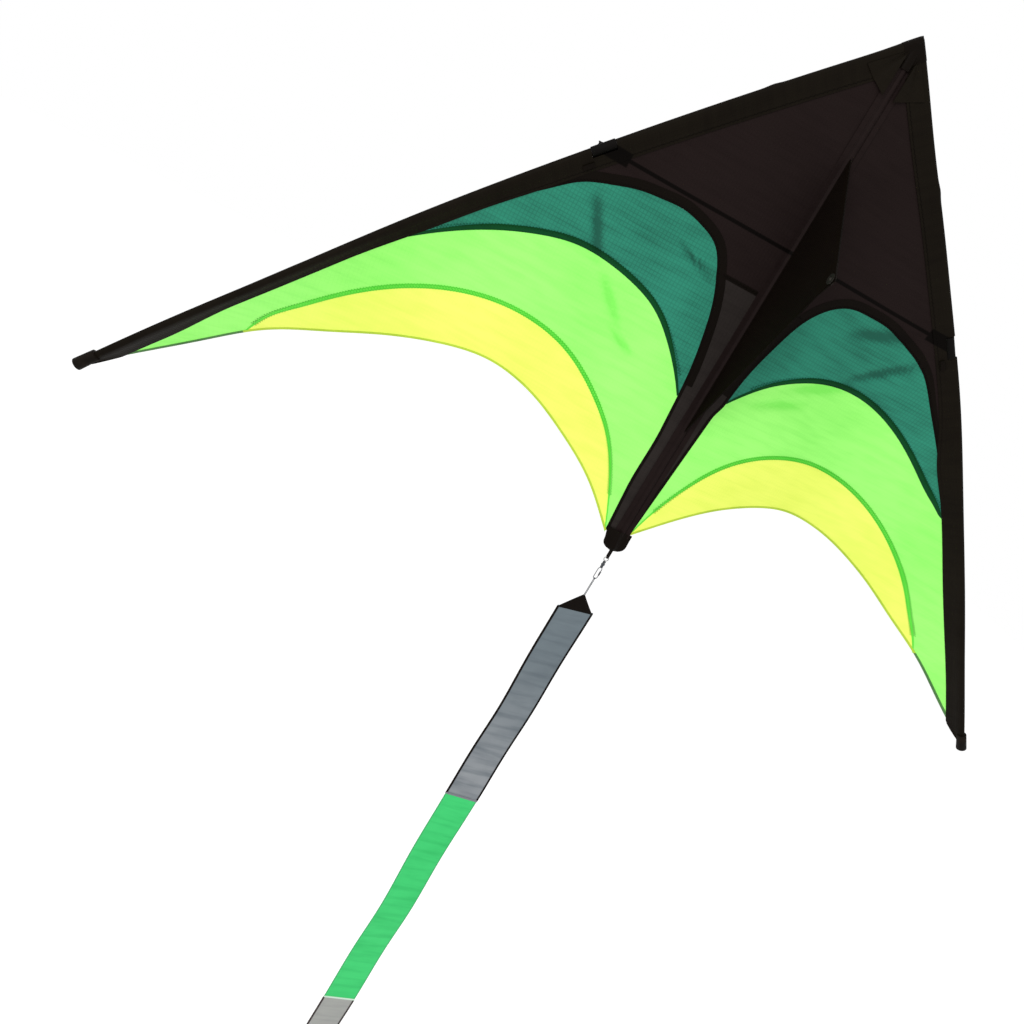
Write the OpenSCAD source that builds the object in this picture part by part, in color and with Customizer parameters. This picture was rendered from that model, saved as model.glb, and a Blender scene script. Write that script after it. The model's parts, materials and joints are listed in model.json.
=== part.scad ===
// Delta kite with a keel fin, a cross spreader and a ribbon tail.
// Millimetres. The kite stands nose up: +Z runs up the spine, -Y is the keel side, +X is the right wing.
// The origin is the centre of the tow eyelet in the keel.

/* [Sail] */
// Half of the span, measured in the plane of one wing
half_span = 798; // [650:2:1000]
// Distance from the nose down to the level of the wing tips
tip_drop = 853; // [700:1:1050]
// Length of the spine from the nose to its lower end
spine_length = 764; // [740:1:950]
// Upward angle of each wing behind the level of the spine
dihedral = 3; // [1:0.5:8]
// Outward bow of each leading edge at its middle
le_bow = 20; // [10:1:40]
// Slope of the sail behind the leading edge at the tip, which the wind twists backwards
washout = 1.45; // [0.4:0.05:1.6]
// Thickness of one layer of cloth, drawn thicker than real ripstop
cloth = 0.6; // [0.4:0.1:1]
// Width of the leading edge sleeve
sleeve_width = 25; // [18:1:40]
// Share of that width lost by the tip, where the cloth is steepest
sleeve_taper = 0.36; // [0:0.02:0.5]
// Width of the central black strip beside the spine at the foot of the arches
strip_top = 34; // [24:1:50]
// Width of the central black strip beside the spine at the lower end
strip_end = 17; // [12:1:26]
// Width of the bound edge around the black arch
binding_width = 13; // [6:1:20]
// Width of the seam between the teal and the lime cloth
teal_seam_width = 8; // [5:1:16]
// Width of the seam between the lime and the yellow cloth
lime_seam_width = 6; // [4:1:14]
// Width of the folded hem along the trailing edge
hem_width = 5; // [3:0.5:10]
// Length of the doubled patch at the nose, down the leading edge
nose_patch = 70; // [50:1:100]

/* [Panels] */
// Where the arches meet the leading edge, as a share of its length
arch_start = 0.56; // [0.5:0.01:0.62]
// Where the seam below the teal cloth meets the leading edge, as a share of its length
lime_start = 0.572; // [0.565:0.001:0.62]
// Where the arches meet the strip, below the nose
arch_end = 502; // [470:1:560]
// Where the trailing edge meets the leading edge sleeve, as a share of its length
tip_start = 0.962; // [0.92:0.002:0.97]
// Where the yellow crescent begins along the trailing edge curve
yellow_start = 0.1; // [0.05:0.01:0.25]
// Where the strip seam crosses the arch, as a share of the arch curve
strip_seam_at = 0.757; // [0.7:0.001:0.85]

/* [Keel] */
// Depth of the keel fin from the spine to its point
keel_depth = 160; // [110:5:200]
// Where the keel begins, below the nose
keel_top = 149; // [120:1:200]
// Where the tow point lies, below the nose
tow_drop = 294; // [260:1:340]
// Where the keel ends, below the nose
keel_end = 559; // [480:1:620]
// Cut across the lower corner at the keel's point
keel_chamfer = 24; // [12:1:36]
// Radius of the hole in the tow eyelet
eyelet_bore_r = 3; // [2:0.5:4]
// Distance of the eyelet's centre from the keel's point
eyelet_inset = 12; // [9:1:18]

/* [Frame] */
// Radius of each leading edge spar
le_spar_r = 2.75; // [2:0.25:4]
// Radius of the spine spar
spine_r = 2.75; // [2:0.25:4]
// Radius of the cross spreader
spreader_r = 2.75; // [2:0.25:4]
// Upper end of each leading edge spar, as a share of the leading edge
spar_start = 0.156; // [0.1:0.01:0.2]
// Lower end of each leading edge spar, as a share of the leading edge
spar_end = 0.993; // [0.97:0.001:0.995]
// Where the spreader fitting sits on the leading edge, as a share of its length
fitting_at = 0.346; // [0.3:0.001:0.4]
// Distance of the spreader's axis behind the spine's axis
spreader_back = 28; // [26:1:36]
// Length of the arm of each spreader fitting
fitting_arm = 58; // [40:1:70]
// Length of the fitting's hub along the spar
fitting_hub = 32; // [20:1:44]
// Running gap around a rod in its sleeve or fitting
rod_gap = 0.3; // [0.1:0.05:0.6]

/* [Tail] */
// Width of the tail ribbon
ribbon_width = 64; // [30:1:70]
// How far the tail is turned on its swivel, in degrees
tail_turn = 12; // [-90:1:90]
// Length of the upper grey ribbon panel
grey_length = 410; // [250:10:600]
// Length of the green ribbon panel
green_length = 530; // [250:10:700]
// Length of the lower grey ribbon panel
end_length = 430; // [250:10:600]
// Height of the triangular head of the tail
head_height = 23; // [15:1:40]
// Length of the line between the snap clip and the tail's head
tail_line_length = 34; // [25:1:60]

/* [Hidden] */
$fn = 48;

black = [0.11, 0.09, 0.08];
teal = [0.18, 0.53, 0.44];
dark_green = [0.05, 0.36, 0.17];
lime = [0.58, 1, 0.42];
leaf = [0.31, 0.88, 0.23];
yellow = [0.96, 1, 0.39];
grey = [0.52, 0.55, 0.57];
ribbon_green = [0.26, 0.82, 0.46];

// Wings hinge on the seams beside the spine, and the keel on the seam in front of it
hinge_x = 8;
seam_gap = 0.4;
ply_gap = 0.3;
ply = cloth + ply_gap;
seam_lift = 0.9;
strip_seam_half = 3;
centre_half = hinge_x - seam_gap - 0.1;
sleeve_wall = 0.6;
spine_sleeve_r = spine_r + rod_gap + sleeve_wall;
keel_hinge_y = spine_sleeve_r + seam_gap;
tow_y = keel_depth - eyelet_inset;

// Leading edge: an arc of a large circle through the nose and the tip, in wing coordinates
// [out from the spine, down from the nose]
le_chord = norm([half_span, tip_drop]);
le_radius = (le_chord * le_chord / 4 + le_bow * le_bow) / (2 * le_bow);
le_half_angle = asin(le_chord / 2 / le_radius);
le_along = [half_span, tip_drop] / le_chord;
le_out = [tip_drop, -half_span] / le_chord;
le_centre = [half_span, tip_drop] / 2 - (le_radius - le_bow) * le_out;
le_fn = 720;
function le_turn(f) = (2 * f - 1) * le_half_angle;
function rim(f, inset = 0) = le_centre
    + (le_radius - inset) * (cos(le_turn(f)) * le_out + sin(le_turn(f)) * le_along);
function rim_share(length) = length / le_chord;
function le_drop(u, inset = 0) = le_centre[1]
    - sqrt(pow(le_radius - inset, 2) - pow(u - le_centre[0], 2));
function share_at(u, inset) = let (p = [u, le_drop(u, inset)] - le_centre)
    (1 + asin(p * le_along / (le_radius - inset)) / le_half_angle) / 2;

// The sleeve's sewn edge, which nears the spar towards the tip
function sleeve_reach(f) = sleeve_width * (1 - sleeve_taper * f);
function sleeve_edge(f) = rim(f, sleeve_reach(f));

// Panel curves: each is a cubic curve whose handles are shares of [half_span, tip_drop]
function scaled(h) = [h[0] * half_span, h[1] * tip_drop];
function curve(p, t) = pow(1 - t, 3) * p[0] + 3 * pow(1 - t, 2) * t * p[1]
    + 3 * (1 - t) * t * t * p[2] + pow(t, 3) * p[3];
function strip_edge(d) = [strip_top + (strip_end - strip_top)
    * (d - arch_end) / (trailing_end - arch_end), d];
trailing_end = spine_length - 21;
point_gap = 6;
teal_arch = [sleeve_edge(arch_start), scaled([0.347, 0.321]), scaled([0.067, 0.222]),
    strip_edge(arch_end)];
lime_arch = [sleeve_edge(lime_start), scaled([0.482, 0.542]), scaled([0.229, 0.37]),
    strip_edge(arch_end + point_gap)];
trailing = [sleeve_edge(tip_start), scaled([0.377, 0.623]), scaled([0.239, 0.684]),
    strip_edge(trailing_end)];
yellow_arch = [curve(trailing, yellow_start), scaled([0.63, 0.642]), scaled([0.17, 0.432]),
    strip_edge(trailing_end - point_gap)];

// The sail lies in the wing's plane at the leading edge and the spine, and twists back between
function sail_back(p) = max(0, p[1] - le_drop(p[0])) * washout
    * pow(max(p[0], 0) / half_span, 2);

// Points along a stretch of a curve, of the leading edge, and down a line beside the spine
function span(n) = [for (i = [0 : n]) i / n];
function stretch(a, b, n) = [for (s = span(n)) a + (b - a) * s];
function along(p, a, b, n) = [for (s = span(n)) curve(p, a + (b - a) * s)];
function along_sleeve(a, b, n) = [for (s = span(n)) sleeve_edge(a + (b - a) * s)];
function down(u, a, b, n) = [for (s = span(n)) [u, a + (b - a) * s]];
function down_strip(a, b, n) = [for (s = span(n)) strip_edge(a + (b - a) * s)];
function joined(a, b) = concat(a, [for (i = [1 : len(b) - 1]) b[i]]);

// A line of points moved sideways by w, to the left of its direction, and less near its ends
function shifted(a, w, least = 1, taper = 1) = [for (i = [0 : len(a) - 1])
    let (s = a[min(i + 1, len(a) - 1)] - a[max(i - 1, 0)], n = norm(s))
    a[i] + w * min(1, least + min(i, len(a) - 1 - i) / taper) * [s[1], -s[0]] / n];

// Cloth between two lines of as many points, across_n cells wide, at a distance behind the sail
module sheet(a, b, across_n = 1, behind = 0, thick = cloth) {
    n = len(a);
    grid = [for (v = span(across_n)) for (i = [0 : n - 1]) a[i] + (b[i] - a[i]) * v];
    count = len(grid);
    layers = [for (side = [1, -1]) for (p = grid)
        [p[0], -p[1], side * thick / 2 - behind - sail_back(p)]];
    cells = [for (v = [0 : across_n - 1]) for (i = [0 : n - 2]) [v * n + i, i + 1 + v * n,
        (v + 1) * n + i + 1, (v + 1) * n + i]];
    rim_points = concat([for (i = [0 : n - 1]) i], [for (v = [1 : across_n]) v * n + n - 1],
        [for (i = [1 : n - 1]) across_n * n + n - 1 - i],
        [for (v = [1 : across_n - 1]) (across_n - v) * n]);
    m = len(rim_points);
    front = [for (c = cells) for (f = [[c[0], c[1], c[2]], [c[0], c[2], c[3]]]) f];
    back = [for (f = front) [f[2] + count, f[1] + count, f[0] + count]];
    edge = [for (i = [0 : m - 1]) let (p = rim_points[i], q = rim_points[(i + 1) % m])
        for (f = [[p, p + count, q + count], [p, q + count, q]]) f];
    polyhedron(layers, concat(front, back, edge));
}

// Frames of reference
module kite() translate([0, tow_y, tow_drop]) children();
module wing(side) kite() mirror([side < 0 ? 1 : 0, 0, 0])
    translate([hinge_x, 0, 0]) rotate([0, 0, dihedral]) translate([-hinge_x, 0, 0])
    rotate([90, 0, 0]) children();
module on_rim(f) translate([rim(f)[0], -rim(f)[1], 0])
    rotate([0, 0, atan2(half_span, tip_drop) - le_turn(f)]) children();
module along_le(a, b) translate([le_centre[0], -le_centre[1], 0])
    rotate([0, 0, atan2(half_span, tip_drop) - le_turn(b)])
    rotate_extrude(angle = le_turn(b) - le_turn(a), $fn = le_fn)
    translate([le_radius, 0]) children();
module spine_at(d) kite() translate([0, 0, -d]) children();
module turned_tail() kite() rotate([0, 0, tail_turn]) children();

// Centre of the kite
spine_inset = 14;
cap_wall = 1.2;
cap_gap = 0.05;
spine_cap_length = 18;
module rod_cap(r, length) difference() {
    union() {
        cylinder(r = r + cap_wall, h = length - r - cap_wall);
        translate([0, 0, length - r - cap_wall]) sphere(r = r + cap_wall);
    }
    translate([0, 0, -1]) cylinder(r = r + cap_gap, h = length - r - cap_wall + 1);
}
module spine_spar() color("dimgray") spine_at(spine_length - 4)
    cylinder(r = spine_r, h = spine_length - 4 - spine_inset);
module spine_top_cap() color(black) spine_at(spine_inset + spine_cap_length - 6)
    rod_cap(spine_r, spine_cap_length);
module spine_end_cap() color(black) spine_at(spine_length - spine_cap_length + 4)
    mirror([0, 0, 1]) rod_cap(spine_r, spine_cap_length);
sleeve_top = spine_inset + spine_cap_length - 4;
sleeve_foot = trailing_end;
module spine_sleeve() color(black) spine_at(sleeve_foot)
    difference() {
        union() {
            cylinder(r = spine_sleeve_r, h = sleeve_foot - sleeve_top);
            translate([-centre_half, -cloth / 2, 0])
                cube([2 * centre_half, cloth, sleeve_foot - sleeve_top]);
        }
        translate([0, 0, -1])
            cylinder(r = spine_r + rod_gap, h = sleeve_foot - sleeve_top + 2);
    }
nose_cover_back = spine_r + cap_wall + ply_gap;
nose_cover_half = spine_sleeve_r + 0.5;
module nose_cover() color(black) spine_at(sleeve_top - 1)
    translate([0, nose_cover_back, 0]) rotate([90, 0, 0]) mirror([0, 0, 1])
    linear_extrude(cloth) polygon([[-nose_cover_half, 0], [nose_cover_half, 0],
        [nose_cover_half, sleeve_top - 8], [0, sleeve_top - 2], [-nose_cover_half, sleeve_top - 8]]);
pocket_half = 16;
pocket_r = spine_r + cap_wall + ply_gap;
pocket_lip = spine_length + 4 - pocket_half - trailing_end;
module tail_pocket() color(black) spine_at(spine_length + 5) difference() {
    union() {
        translate([0, cloth / 2, pocket_half]) rotate([90, 0, 0])
            linear_extrude(cloth) intersection() {
                circle(r = pocket_half);
                translate([-pocket_half, -pocket_half])
                    square([2 * pocket_half, pocket_half + pocket_lip]);
            }
        cylinder(r = pocket_r + cloth, h = pocket_half + pocket_lip);
    }
    translate([0, 0, cloth]) cylinder(r = pocket_r, h = pocket_half + pocket_lip);
}
loop_drop = 11;
loop_hole_r = 2.6;
loop_width = 9;
loop_thick = 1.4;
module tail_loop() color(black) spine_at(spine_length + 5 + loop_drop)
    translate([-loop_thick / 2, 0, 0]) rotate([90, 0, 90]) linear_extrude(loop_thick)
    difference() {
        union() {
            circle(r = loop_width / 2);
            translate([-loop_width / 2, 0]) square([loop_width, loop_drop]);
        }
        circle(r = loop_hole_r);
    }

// Keel fin, drawn in the plane of the spine: x is the distance in front, y is up
keel_outline = [[keel_hinge_y + seam_gap, -keel_top], [keel_depth, -tow_drop],
    [keel_depth - keel_chamfer * 0.85, -tow_drop - keel_chamfer],
    [keel_hinge_y + seam_gap, -keel_end]];
patch_thick = 0.8;
patch_r = 26;
flange_r = eyelet_bore_r + 4;
grommet_r = eyelet_bore_r + 1.2;
module keel_plane(x, thick) kite() translate([x, 0, 0]) rotate([90, 0, -90])
    translate([0, 0, -thick / 2]) linear_extrude(thick) children();
module eyelet_hole(r) translate([tow_y, -tow_drop]) circle(r = r);
module keel_fin() color(black) keel_plane(0, cloth) difference() {
    polygon(keel_outline);
    eyelet_hole(grommet_r + cap_gap);
}
keel_hem_width = 8;
keel_hem_root = keel_hinge_y + 2;
module keel_hem(a, b, from, side) keel_plane(-cloth, cloth) intersection() {
    polygon(keel_outline);
    translate([keel_hem_root, -keel_end]) square([keel_depth, keel_end]);
    translate(a) rotate([0, 0, atan2(b[1] - a[1], b[0] - a[0])])
        translate([0, side * keel_hem_width / 2])
        square([2 * (norm(b - a) - from), keel_hem_width], center = true);
}
module keel_front_hem() color(black)
    keel_hem(keel_outline[0], keel_outline[1], patch_r * 1.4, -1);
module keel_rear_hem() color(black)
    keel_hem(keel_outline[3], keel_outline[2], patch_r * 1.2, 1);
module tow_patch() color(black) for (side = [-1, 1])
    keel_plane(side * (cloth + patch_thick) / 2, patch_thick)
    difference() {
        intersection() {
            polygon(keel_outline);
            eyelet_hole(patch_r);
        }
        eyelet_hole(grommet_r + cap_gap);
    }
eyelet_half = cloth / 2 + patch_thick + 0.7;
module tow_eyelet() color("silver") kite() translate([0, -tow_y, -tow_drop])
    rotate([0, 90, 0]) difference() {
        union() {
            cylinder(r = grommet_r, h = 2 * eyelet_half, center = true);
            for (side = [-1, 1]) translate([0, 0, side * (eyelet_half - 0.35)])
                cylinder(r = flange_r, h = 0.7, center = true);
        }
        cylinder(r = eyelet_bore_r, h = 2 * eyelet_half + 1, center = true);
    }

// Cross spreader, behind the sail at the level of the two fittings
fitting_point = rim(fitting_at);
spreader_drop = fitting_point[1];
fitting_x = hinge_x + (fitting_point[0] - hinge_x) * cos(dihedral);
nub = 6;
spreader_half = fitting_x + nub - 3;
spreader_cap_length = 12;
module spreader_rod() color("dimgray") kite()
    translate([-spreader_half, spreader_back, -spreader_drop]) rotate([0, 90, 0])
    cylinder(r = spreader_r, h = 2 * spreader_half);
module spreader_end_caps() color(black) kite() for (side = [-1, 1])
    translate([side * (spreader_half + spreader_r + cap_wall - spreader_cap_length),
        spreader_back, -spreader_drop])
    rotate([0, side * 90, 0]) rod_cap(spreader_r, spreader_cap_length);

// One wing, drawn for the right side and mirrored for the left
inner_u = hinge_x + seam_gap;
spar_cap_length = 19;
tip_cap_length = 30;
tip_cap_r = 9;
window = fitting_hub + 4;
window_share = rim_share(window / 2);
hub_r = le_spar_r + 3.4;
sleeve_bore_r = le_spar_r + cap_wall + rod_gap;
sleeve_r = sleeve_bore_r + sleeve_wall;
sleeve_from = share_at(inner_u, sleeve_r + ply_gap);
sleeve_to = spar_end - rim_share(tip_cap_length - 9.5);
flap_shares = concat(stretch(sleeve_from, fitting_at - window_share, 6),
    stretch(fitting_at - window_share + rim_share(1), fitting_at + window_share - rim_share(1), 1),
    stretch(fitting_at + window_share, sleeve_to, 10));
function flap_start(f) = abs(f - fitting_at) < window_share - rim_share(0.5)
    ? hub_r + ply_gap : sleeve_r + ply_gap;
function flap_end(f) = (sleeve_reach(f) - ply_gap)
    * (f > tip_start ? 1 - 0.55 * (f - tip_start) / (sleeve_to - tip_start) : 1);
module le_spar(side) color("dimgray") wing(side)
    along_le(spar_start, spar_end) circle(r = le_spar_r);
module spar_cap(side) color(black) wing(side) on_rim(spar_start)
    translate([0, -spar_cap_length + 5, 0]) rotate([-90, 0, 0])
    rod_cap(le_spar_r, spar_cap_length);
module tip_cap(side) color(black) wing(side) on_rim(spar_end)
    translate([0, tip_cap_length - 10, 0]) rotate([90, 0, 0]) difference() {
        union() {
            cylinder(r = tip_cap_r, h = tip_cap_length - 3);
            translate([0, 0, tip_cap_length - 3]) cylinder(r1 = tip_cap_r, r2 = tip_cap_r - 2, h = 3);
        }
        translate([0, 0, -1]) cylinder(r = le_spar_r + cap_gap, h = tip_cap_length - 8);
    }
module sleeve(side) color(black) {
    wing(side) difference() {
        along_le(sleeve_from, sleeve_to) difference() {
            circle(r = sleeve_r);
            circle(r = sleeve_bore_r);
        }
        on_rim(fitting_at) translate([-10, -window / 2, -10]) cube([20, window, 20]);
    }
    wing(side) sheet([for (f = flap_shares) rim(f, flap_start(f))],
        [for (f = flap_shares) rim(max(f, share_at(inner_u, flap_end(f))), flap_end(f))],
        1, -ply);
}
top_share = share_at(inner_u, sleeve_reach(share_at(inner_u, sleeve_width)));
top_drop = sleeve_edge(top_share)[1];
seam_point = curve(teal_arch, strip_seam_at);
seam_drop = seam_point[1];
function top_outer() = joined(along_sleeve(arch_start, top_share, 12),
    down(inner_u, top_drop, seam_drop, 8));
function top_inner() = joined(along(teal_arch, 0, 0.5, 12),
    along(teal_arch, 0.5, strip_seam_at, 8));
module top_panel(side) color(black) wing(side) sheet(top_outer(), top_inner(), 4);
module strip_panel(side) color(black) wing(side)
    sheet(joined(down(inner_u, seam_drop + ply_gap, arch_end, 6),
        down(inner_u, arch_end, trailing_end, 8)),
        joined(concat([seam_point + [0, ply_gap]],
            [for (i = [1 : 6]) curve(teal_arch, strip_seam_at + (1 - strip_seam_at) * i / 6)]),
            down_strip(arch_end, trailing_end, 8)), 1);
overlay = -cloth - seam_lift;
hem_lift = 0.25;
strip_seam_end = seam_point[0] - 1.4 * binding_width;
module strip_seam(side) color(black) wing(side)
    sheet([for (u = stretch(inner_u, strip_seam_end, 5)) [u, seam_drop - strip_seam_half]],
        [for (u = stretch(inner_u, strip_seam_end, 5)) [u, seam_drop + strip_seam_half]],
        1, overlay);
module arch_binding(side) {
    edge = along(teal_arch, 0.15, 0.97, 26);
    color(black) wing(side) sheet(edge, [for (i = [0 : 26])
        shifted(edge, -binding_width * min(1, 0.2 + i / 9))[i]], 1, overlay);
}
module teal_panel(side) color(teal) wing(side)
    sheet(along(teal_arch, 0, 1, 26), along(lime_arch, 0, 1, 26), 4);
module teal_seam(side) color(dark_green) wing(side)
    sheet(along(lime_arch, 0.02, 0.99, 26), shifted(along(lime_arch, 0.02, 0.99, 26),
        teal_seam_width, 0.25, 8), 1, overlay);
yellow_turn = 0.85;
module lime_panel(side) color(lime) wing(side)
    sheet(joined(along_sleeve(tip_start - rim_share(point_gap), lime_start
            + rim_share(point_gap), 10),
            joined(along(lime_arch, 0.02, 1, 22),
                down_strip(arch_end + point_gap, trailing_end - 2 * point_gap, 8))),
        joined(along(trailing, 0, yellow_start, 10),
            joined(along(yellow_arch, 0, yellow_turn, 22), along(yellow_arch, yellow_turn, 1, 8))),
        4);
module lime_seam(side) color(leaf) wing(side)
    sheet(shifted(along(yellow_arch, 0.03, 0.97, 26), lime_seam_width / 2, 0.3, 6),
        shifted(along(yellow_arch, 0.03, 0.97, 26), -lime_seam_width / 2, 0.3, 6), 1, overlay);
module yellow_panel(side) color(yellow) wing(side)
    sheet(along(yellow_arch, 0, 1, 26), along(trailing, yellow_start + 0.01, 1, 26), 3);
module trailing_hem(side) {
    edge = along(trailing, 0.02, 0.98, 36);
    color(leaf) wing(side) sheet(shifted(edge, -hem_width), edge, 1, overlay - hem_lift);
}
patch_inset = sleeve_r + ply_gap;
module nose_patch(side) color(black) wing(side)
    sheet([rim(share_at(inner_u, patch_inset), patch_inset),
        rim(rim_share(nose_patch), patch_inset)],
        [[inner_u, le_drop(inner_u, patch_inset + 1)], [inner_u, nose_patch]], 1, -2 * ply);

// Spreader fitting: a hub on the spar and an arm with a snap slot that opens backwards
arm_r = spreader_r + rod_gap + 2.6;
arm_back = (spreader_back - (fitting_point[0] - hinge_x) * sin(dihedral)) / cos(dihedral);
module fitting(side) color(black) difference() {
    union() {
        wing(side) on_rim(fitting_at) rotate([90, 0, 0])
            cylinder(r = hub_r, h = fitting_hub, center = true);
        wing(side) translate([fitting_point[0] - 5, -spreader_drop - 5, -arm_back])
            cube([10, 10, arm_back]);
        kite() mirror([side < 0 ? 1 : 0, 0, 0])
            translate([fitting_x + nub - fitting_arm, spreader_back, -spreader_drop])
            rotate([0, 90, 0]) cylinder(r = arm_r, h = fitting_arm);
    }
    wing(side) on_rim(fitting_at) rotate([90, 0, 0])
        cylinder(r = le_spar_r + 0.05, h = fitting_hub + 2, center = true);
    kite() mirror([side < 0 ? 1 : 0, 0, 0]) {
        translate([fitting_x + nub - fitting_arm - 1, spreader_back, -spreader_drop])
            rotate([0, 90, 0]) cylinder(r = spreader_r + rod_gap, h = fitting_arm + 30);
        translate([fitting_x + nub - fitting_arm - 1, spreader_back,
            -spreader_drop - spreader_r - rod_gap])
            cube([fitting_arm + 30, 30, 2 * (spreader_r + rod_gap)]);
        translate([fitting_x + nub - spreader_cap_length - 2, spreader_back, -spreader_drop])
            rotate([0, 90, 0]) cylinder(r = spreader_r + cap_wall + rod_gap, h = 30);
        translate([fitting_x + nub - spreader_cap_length - 2, spreader_back,
            -spreader_drop - spreader_r - cap_wall - rod_gap])
            cube([30, 30, 2 * (spreader_r + cap_wall + rod_gap)]);
    }
}
tab_length = 16;
tab_width = 5;
tab_inset = 13;
tab_shares = [fitting_at + window_share, fitting_at + window_share + rim_share(tab_length)];
module stay_tab(side) color(black) wing(side)
    sheet([for (f = tab_shares) rim(f, tab_inset)],
        [for (f = tab_shares) rim(f, tab_inset + tab_width)], 1, -2 * ply);

// Tail: a swivel and clip under the spine, a short line and a hanging ribbon
ring_wire = 0.7;
ring_r = 3.6;
loop_eye = spine_length + 5 + loop_drop;
swing_at = loop_eye + loop_hole_r - ring_wire - ply_gap;
ring_drop = swing_at + ring_r;
barrel_top = ring_drop + ring_r + ring_wire + 0.4;
barrel_r = 2.2;
barrel_length = 11;
stem_head_r = 1.2;
neck = 1.1;
clip_top = barrel_top + barrel_length;
clip_length = 22;
clip_half = 4;
clip_wire = 1.3;
line_r = 0.6;
line_half = 1.5;
line_top = clip_top + clip_length - clip_wire - ply_gap - 2 * line_r;
head_top = line_top + tail_line_length;
ribbon_top = head_top + head_height;
green_top = ribbon_top + grey_length;
end_top = green_top + green_length;
tail_foot = end_top + end_length;
bend_gap = 0.45;
ribbon_thick = 0.6;
piping_width = 3;
module swivel_ring() color("silver") spine_at(ring_drop) {
    rotate([90, 0, 0]) rotate_extrude() translate([ring_r, 0]) circle(r = ring_wire, $fn = 24);
    translate([0, 0, -ring_r - 2.9]) cylinder(r = ring_wire, h = 2.9);
    translate([0, 0, -ring_r - 3.7]) cylinder(r = stem_head_r, h = 0.8);
}
module swivel_barrel() color("silver") spine_at(barrel_top + barrel_length) difference() {
    union() {
        cylinder(r = barrel_r, h = barrel_length);
        translate([0, 0, barrel_length / 2]) sphere(r = barrel_r + 0.8);
    }
    translate([0, 0, barrel_length - neck - 1]) cylinder(r = ring_wire + 0.1, h = neck + 2);
    translate([0, 0, barrel_length - neck - 2.6]) cylinder(r = stem_head_r + 0.1, h = 2.6);
}
module clip_outline(inset) union() {
    translate([0, -clip_half]) circle(r = clip_half - inset);
    translate([0, -clip_length + clip_half]) circle(r = clip_half - inset);
    translate([-clip_half + inset, -clip_length + clip_half])
        square([2 * (clip_half - inset), clip_length - 2 * clip_half]);
}
module snap_clip() color("silver") turned_tail() translate([0, 0, -clip_top]) rotate([90, 0, 0])
    linear_extrude(1.2, center = true) difference() {
        clip_outline(0);
        clip_outline(clip_wire);
    }
line_bend = line_half + line_r;
module tail_line() color("dimgray") turned_tail() translate([0, 0, -line_top - line_bend]) union() {
    rotate([90, 0, 90]) rotate_extrude(angle = 180) translate([line_half, 0])
        circle(r = line_r, $fn = 24);
    for (side = [-1, 1]) translate([0, side * line_half, -tail_line_length + line_bend - 8])
        cylinder(r = line_r, h = tail_line_length - line_bend + 8, $fn = 24);
}
module ribbon(top, foot, half, behind = 0) turned_tail()
    translate([0, behind + ribbon_thick / 2, 0]) rotate([90, 0, 0]) linear_extrude(ribbon_thick)
    translate([-half, -foot]) square([2 * half, foot - top]);
module tail_head() color(black) turned_tail() translate([0, ribbon_thick, 0]) rotate([90, 0, 0])
    linear_extrude(2 * ribbon_thick) polygon([[-1.6, -head_top], [1.6, -head_top],
    [ribbon_width / 2, -ribbon_top], [-ribbon_width / 2, -ribbon_top]]);
module piping(top, foot) for (side = [-1, 1]) turned_tail()
    translate([side * (ribbon_width - piping_width) / 2 - piping_width / 2,
        -1.5 * ribbon_thick, -foot])
    cube([piping_width, ribbon_thick, foot - top]);
module tail_grey_panel() color(grey)
    ribbon(ribbon_top, green_top - bend_gap, ribbon_width / 2);
module tail_grey_piping() color(black) piping(ribbon_top + 2, green_top - 4);
module tail_green_panel() color(ribbon_green)
    ribbon(green_top + bend_gap, end_top - bend_gap, ribbon_width / 2);
module tail_green_seam() color(grey)
    ribbon(green_top + 2, green_top + 8, ribbon_width / 2 - 1, -ribbon_thick);
module tail_end_panel() color(grey)
    ribbon(end_top + bend_gap, tail_foot, ribbon_width / 2);
module tail_end_seam() color(ribbon_green)
    ribbon(end_top + 2, end_top + 8, ribbon_width / 2 - piping_width - 1, -ribbon_thick);
module tail_end_piping() color(black) {
    piping(end_top + 2, tail_foot - 9);
    ribbon(tail_foot - 8, tail_foot, ribbon_width / 2, -ribbon_thick);
}

spine_spar();
spine_top_cap();
spine_end_cap();
spine_sleeve();
nose_cover();
tail_pocket();
tail_loop();
keel_fin();
keel_front_hem();
keel_rear_hem();
tow_patch();
tow_eyelet();
spreader_rod();
spreader_end_caps();
le_spar(-1);  // left_spar
spar_cap(-1);  // left_spar_cap
tip_cap(-1);  // left_tip_cap
sleeve(-1);  // left_sleeve
top_panel(-1);  // left_top_panel
strip_panel(-1);  // left_strip_panel
strip_seam(-1);  // left_strip_seam
arch_binding(-1);  // left_arch_binding
teal_panel(-1);  // left_teal_panel
teal_seam(-1);  // left_teal_seam
lime_panel(-1);  // left_lime_panel
lime_seam(-1);  // left_lime_seam
yellow_panel(-1);  // left_yellow_panel
trailing_hem(-1);  // left_trailing_hem
nose_patch(-1);  // left_nose_patch
fitting(-1);  // left_fitting
stay_tab(-1);  // left_stay_tab
le_spar(1);  // right_spar
spar_cap(1);  // right_spar_cap
tip_cap(1);  // right_tip_cap
sleeve(1);  // right_sleeve
top_panel(1);  // right_top_panel
strip_panel(1);  // right_strip_panel
strip_seam(1);  // right_strip_seam
arch_binding(1);  // right_arch_binding
teal_panel(1);  // right_teal_panel
teal_seam(1);  // right_teal_seam
lime_panel(1);  // right_lime_panel
lime_seam(1);  // right_lime_seam
yellow_panel(1);  // right_yellow_panel
trailing_hem(1);  // right_trailing_hem
nose_patch(1);  // right_nose_patch
fitting(1);  // right_fitting
stay_tab(1);  // right_stay_tab
swivel_ring();
swivel_barrel();
snap_clip();
tail_line();
tail_head();
tail_grey_panel();
tail_grey_piping();
tail_green_seam();
tail_green_panel();
tail_end_seam();
tail_end_panel();
tail_end_piping();
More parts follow.
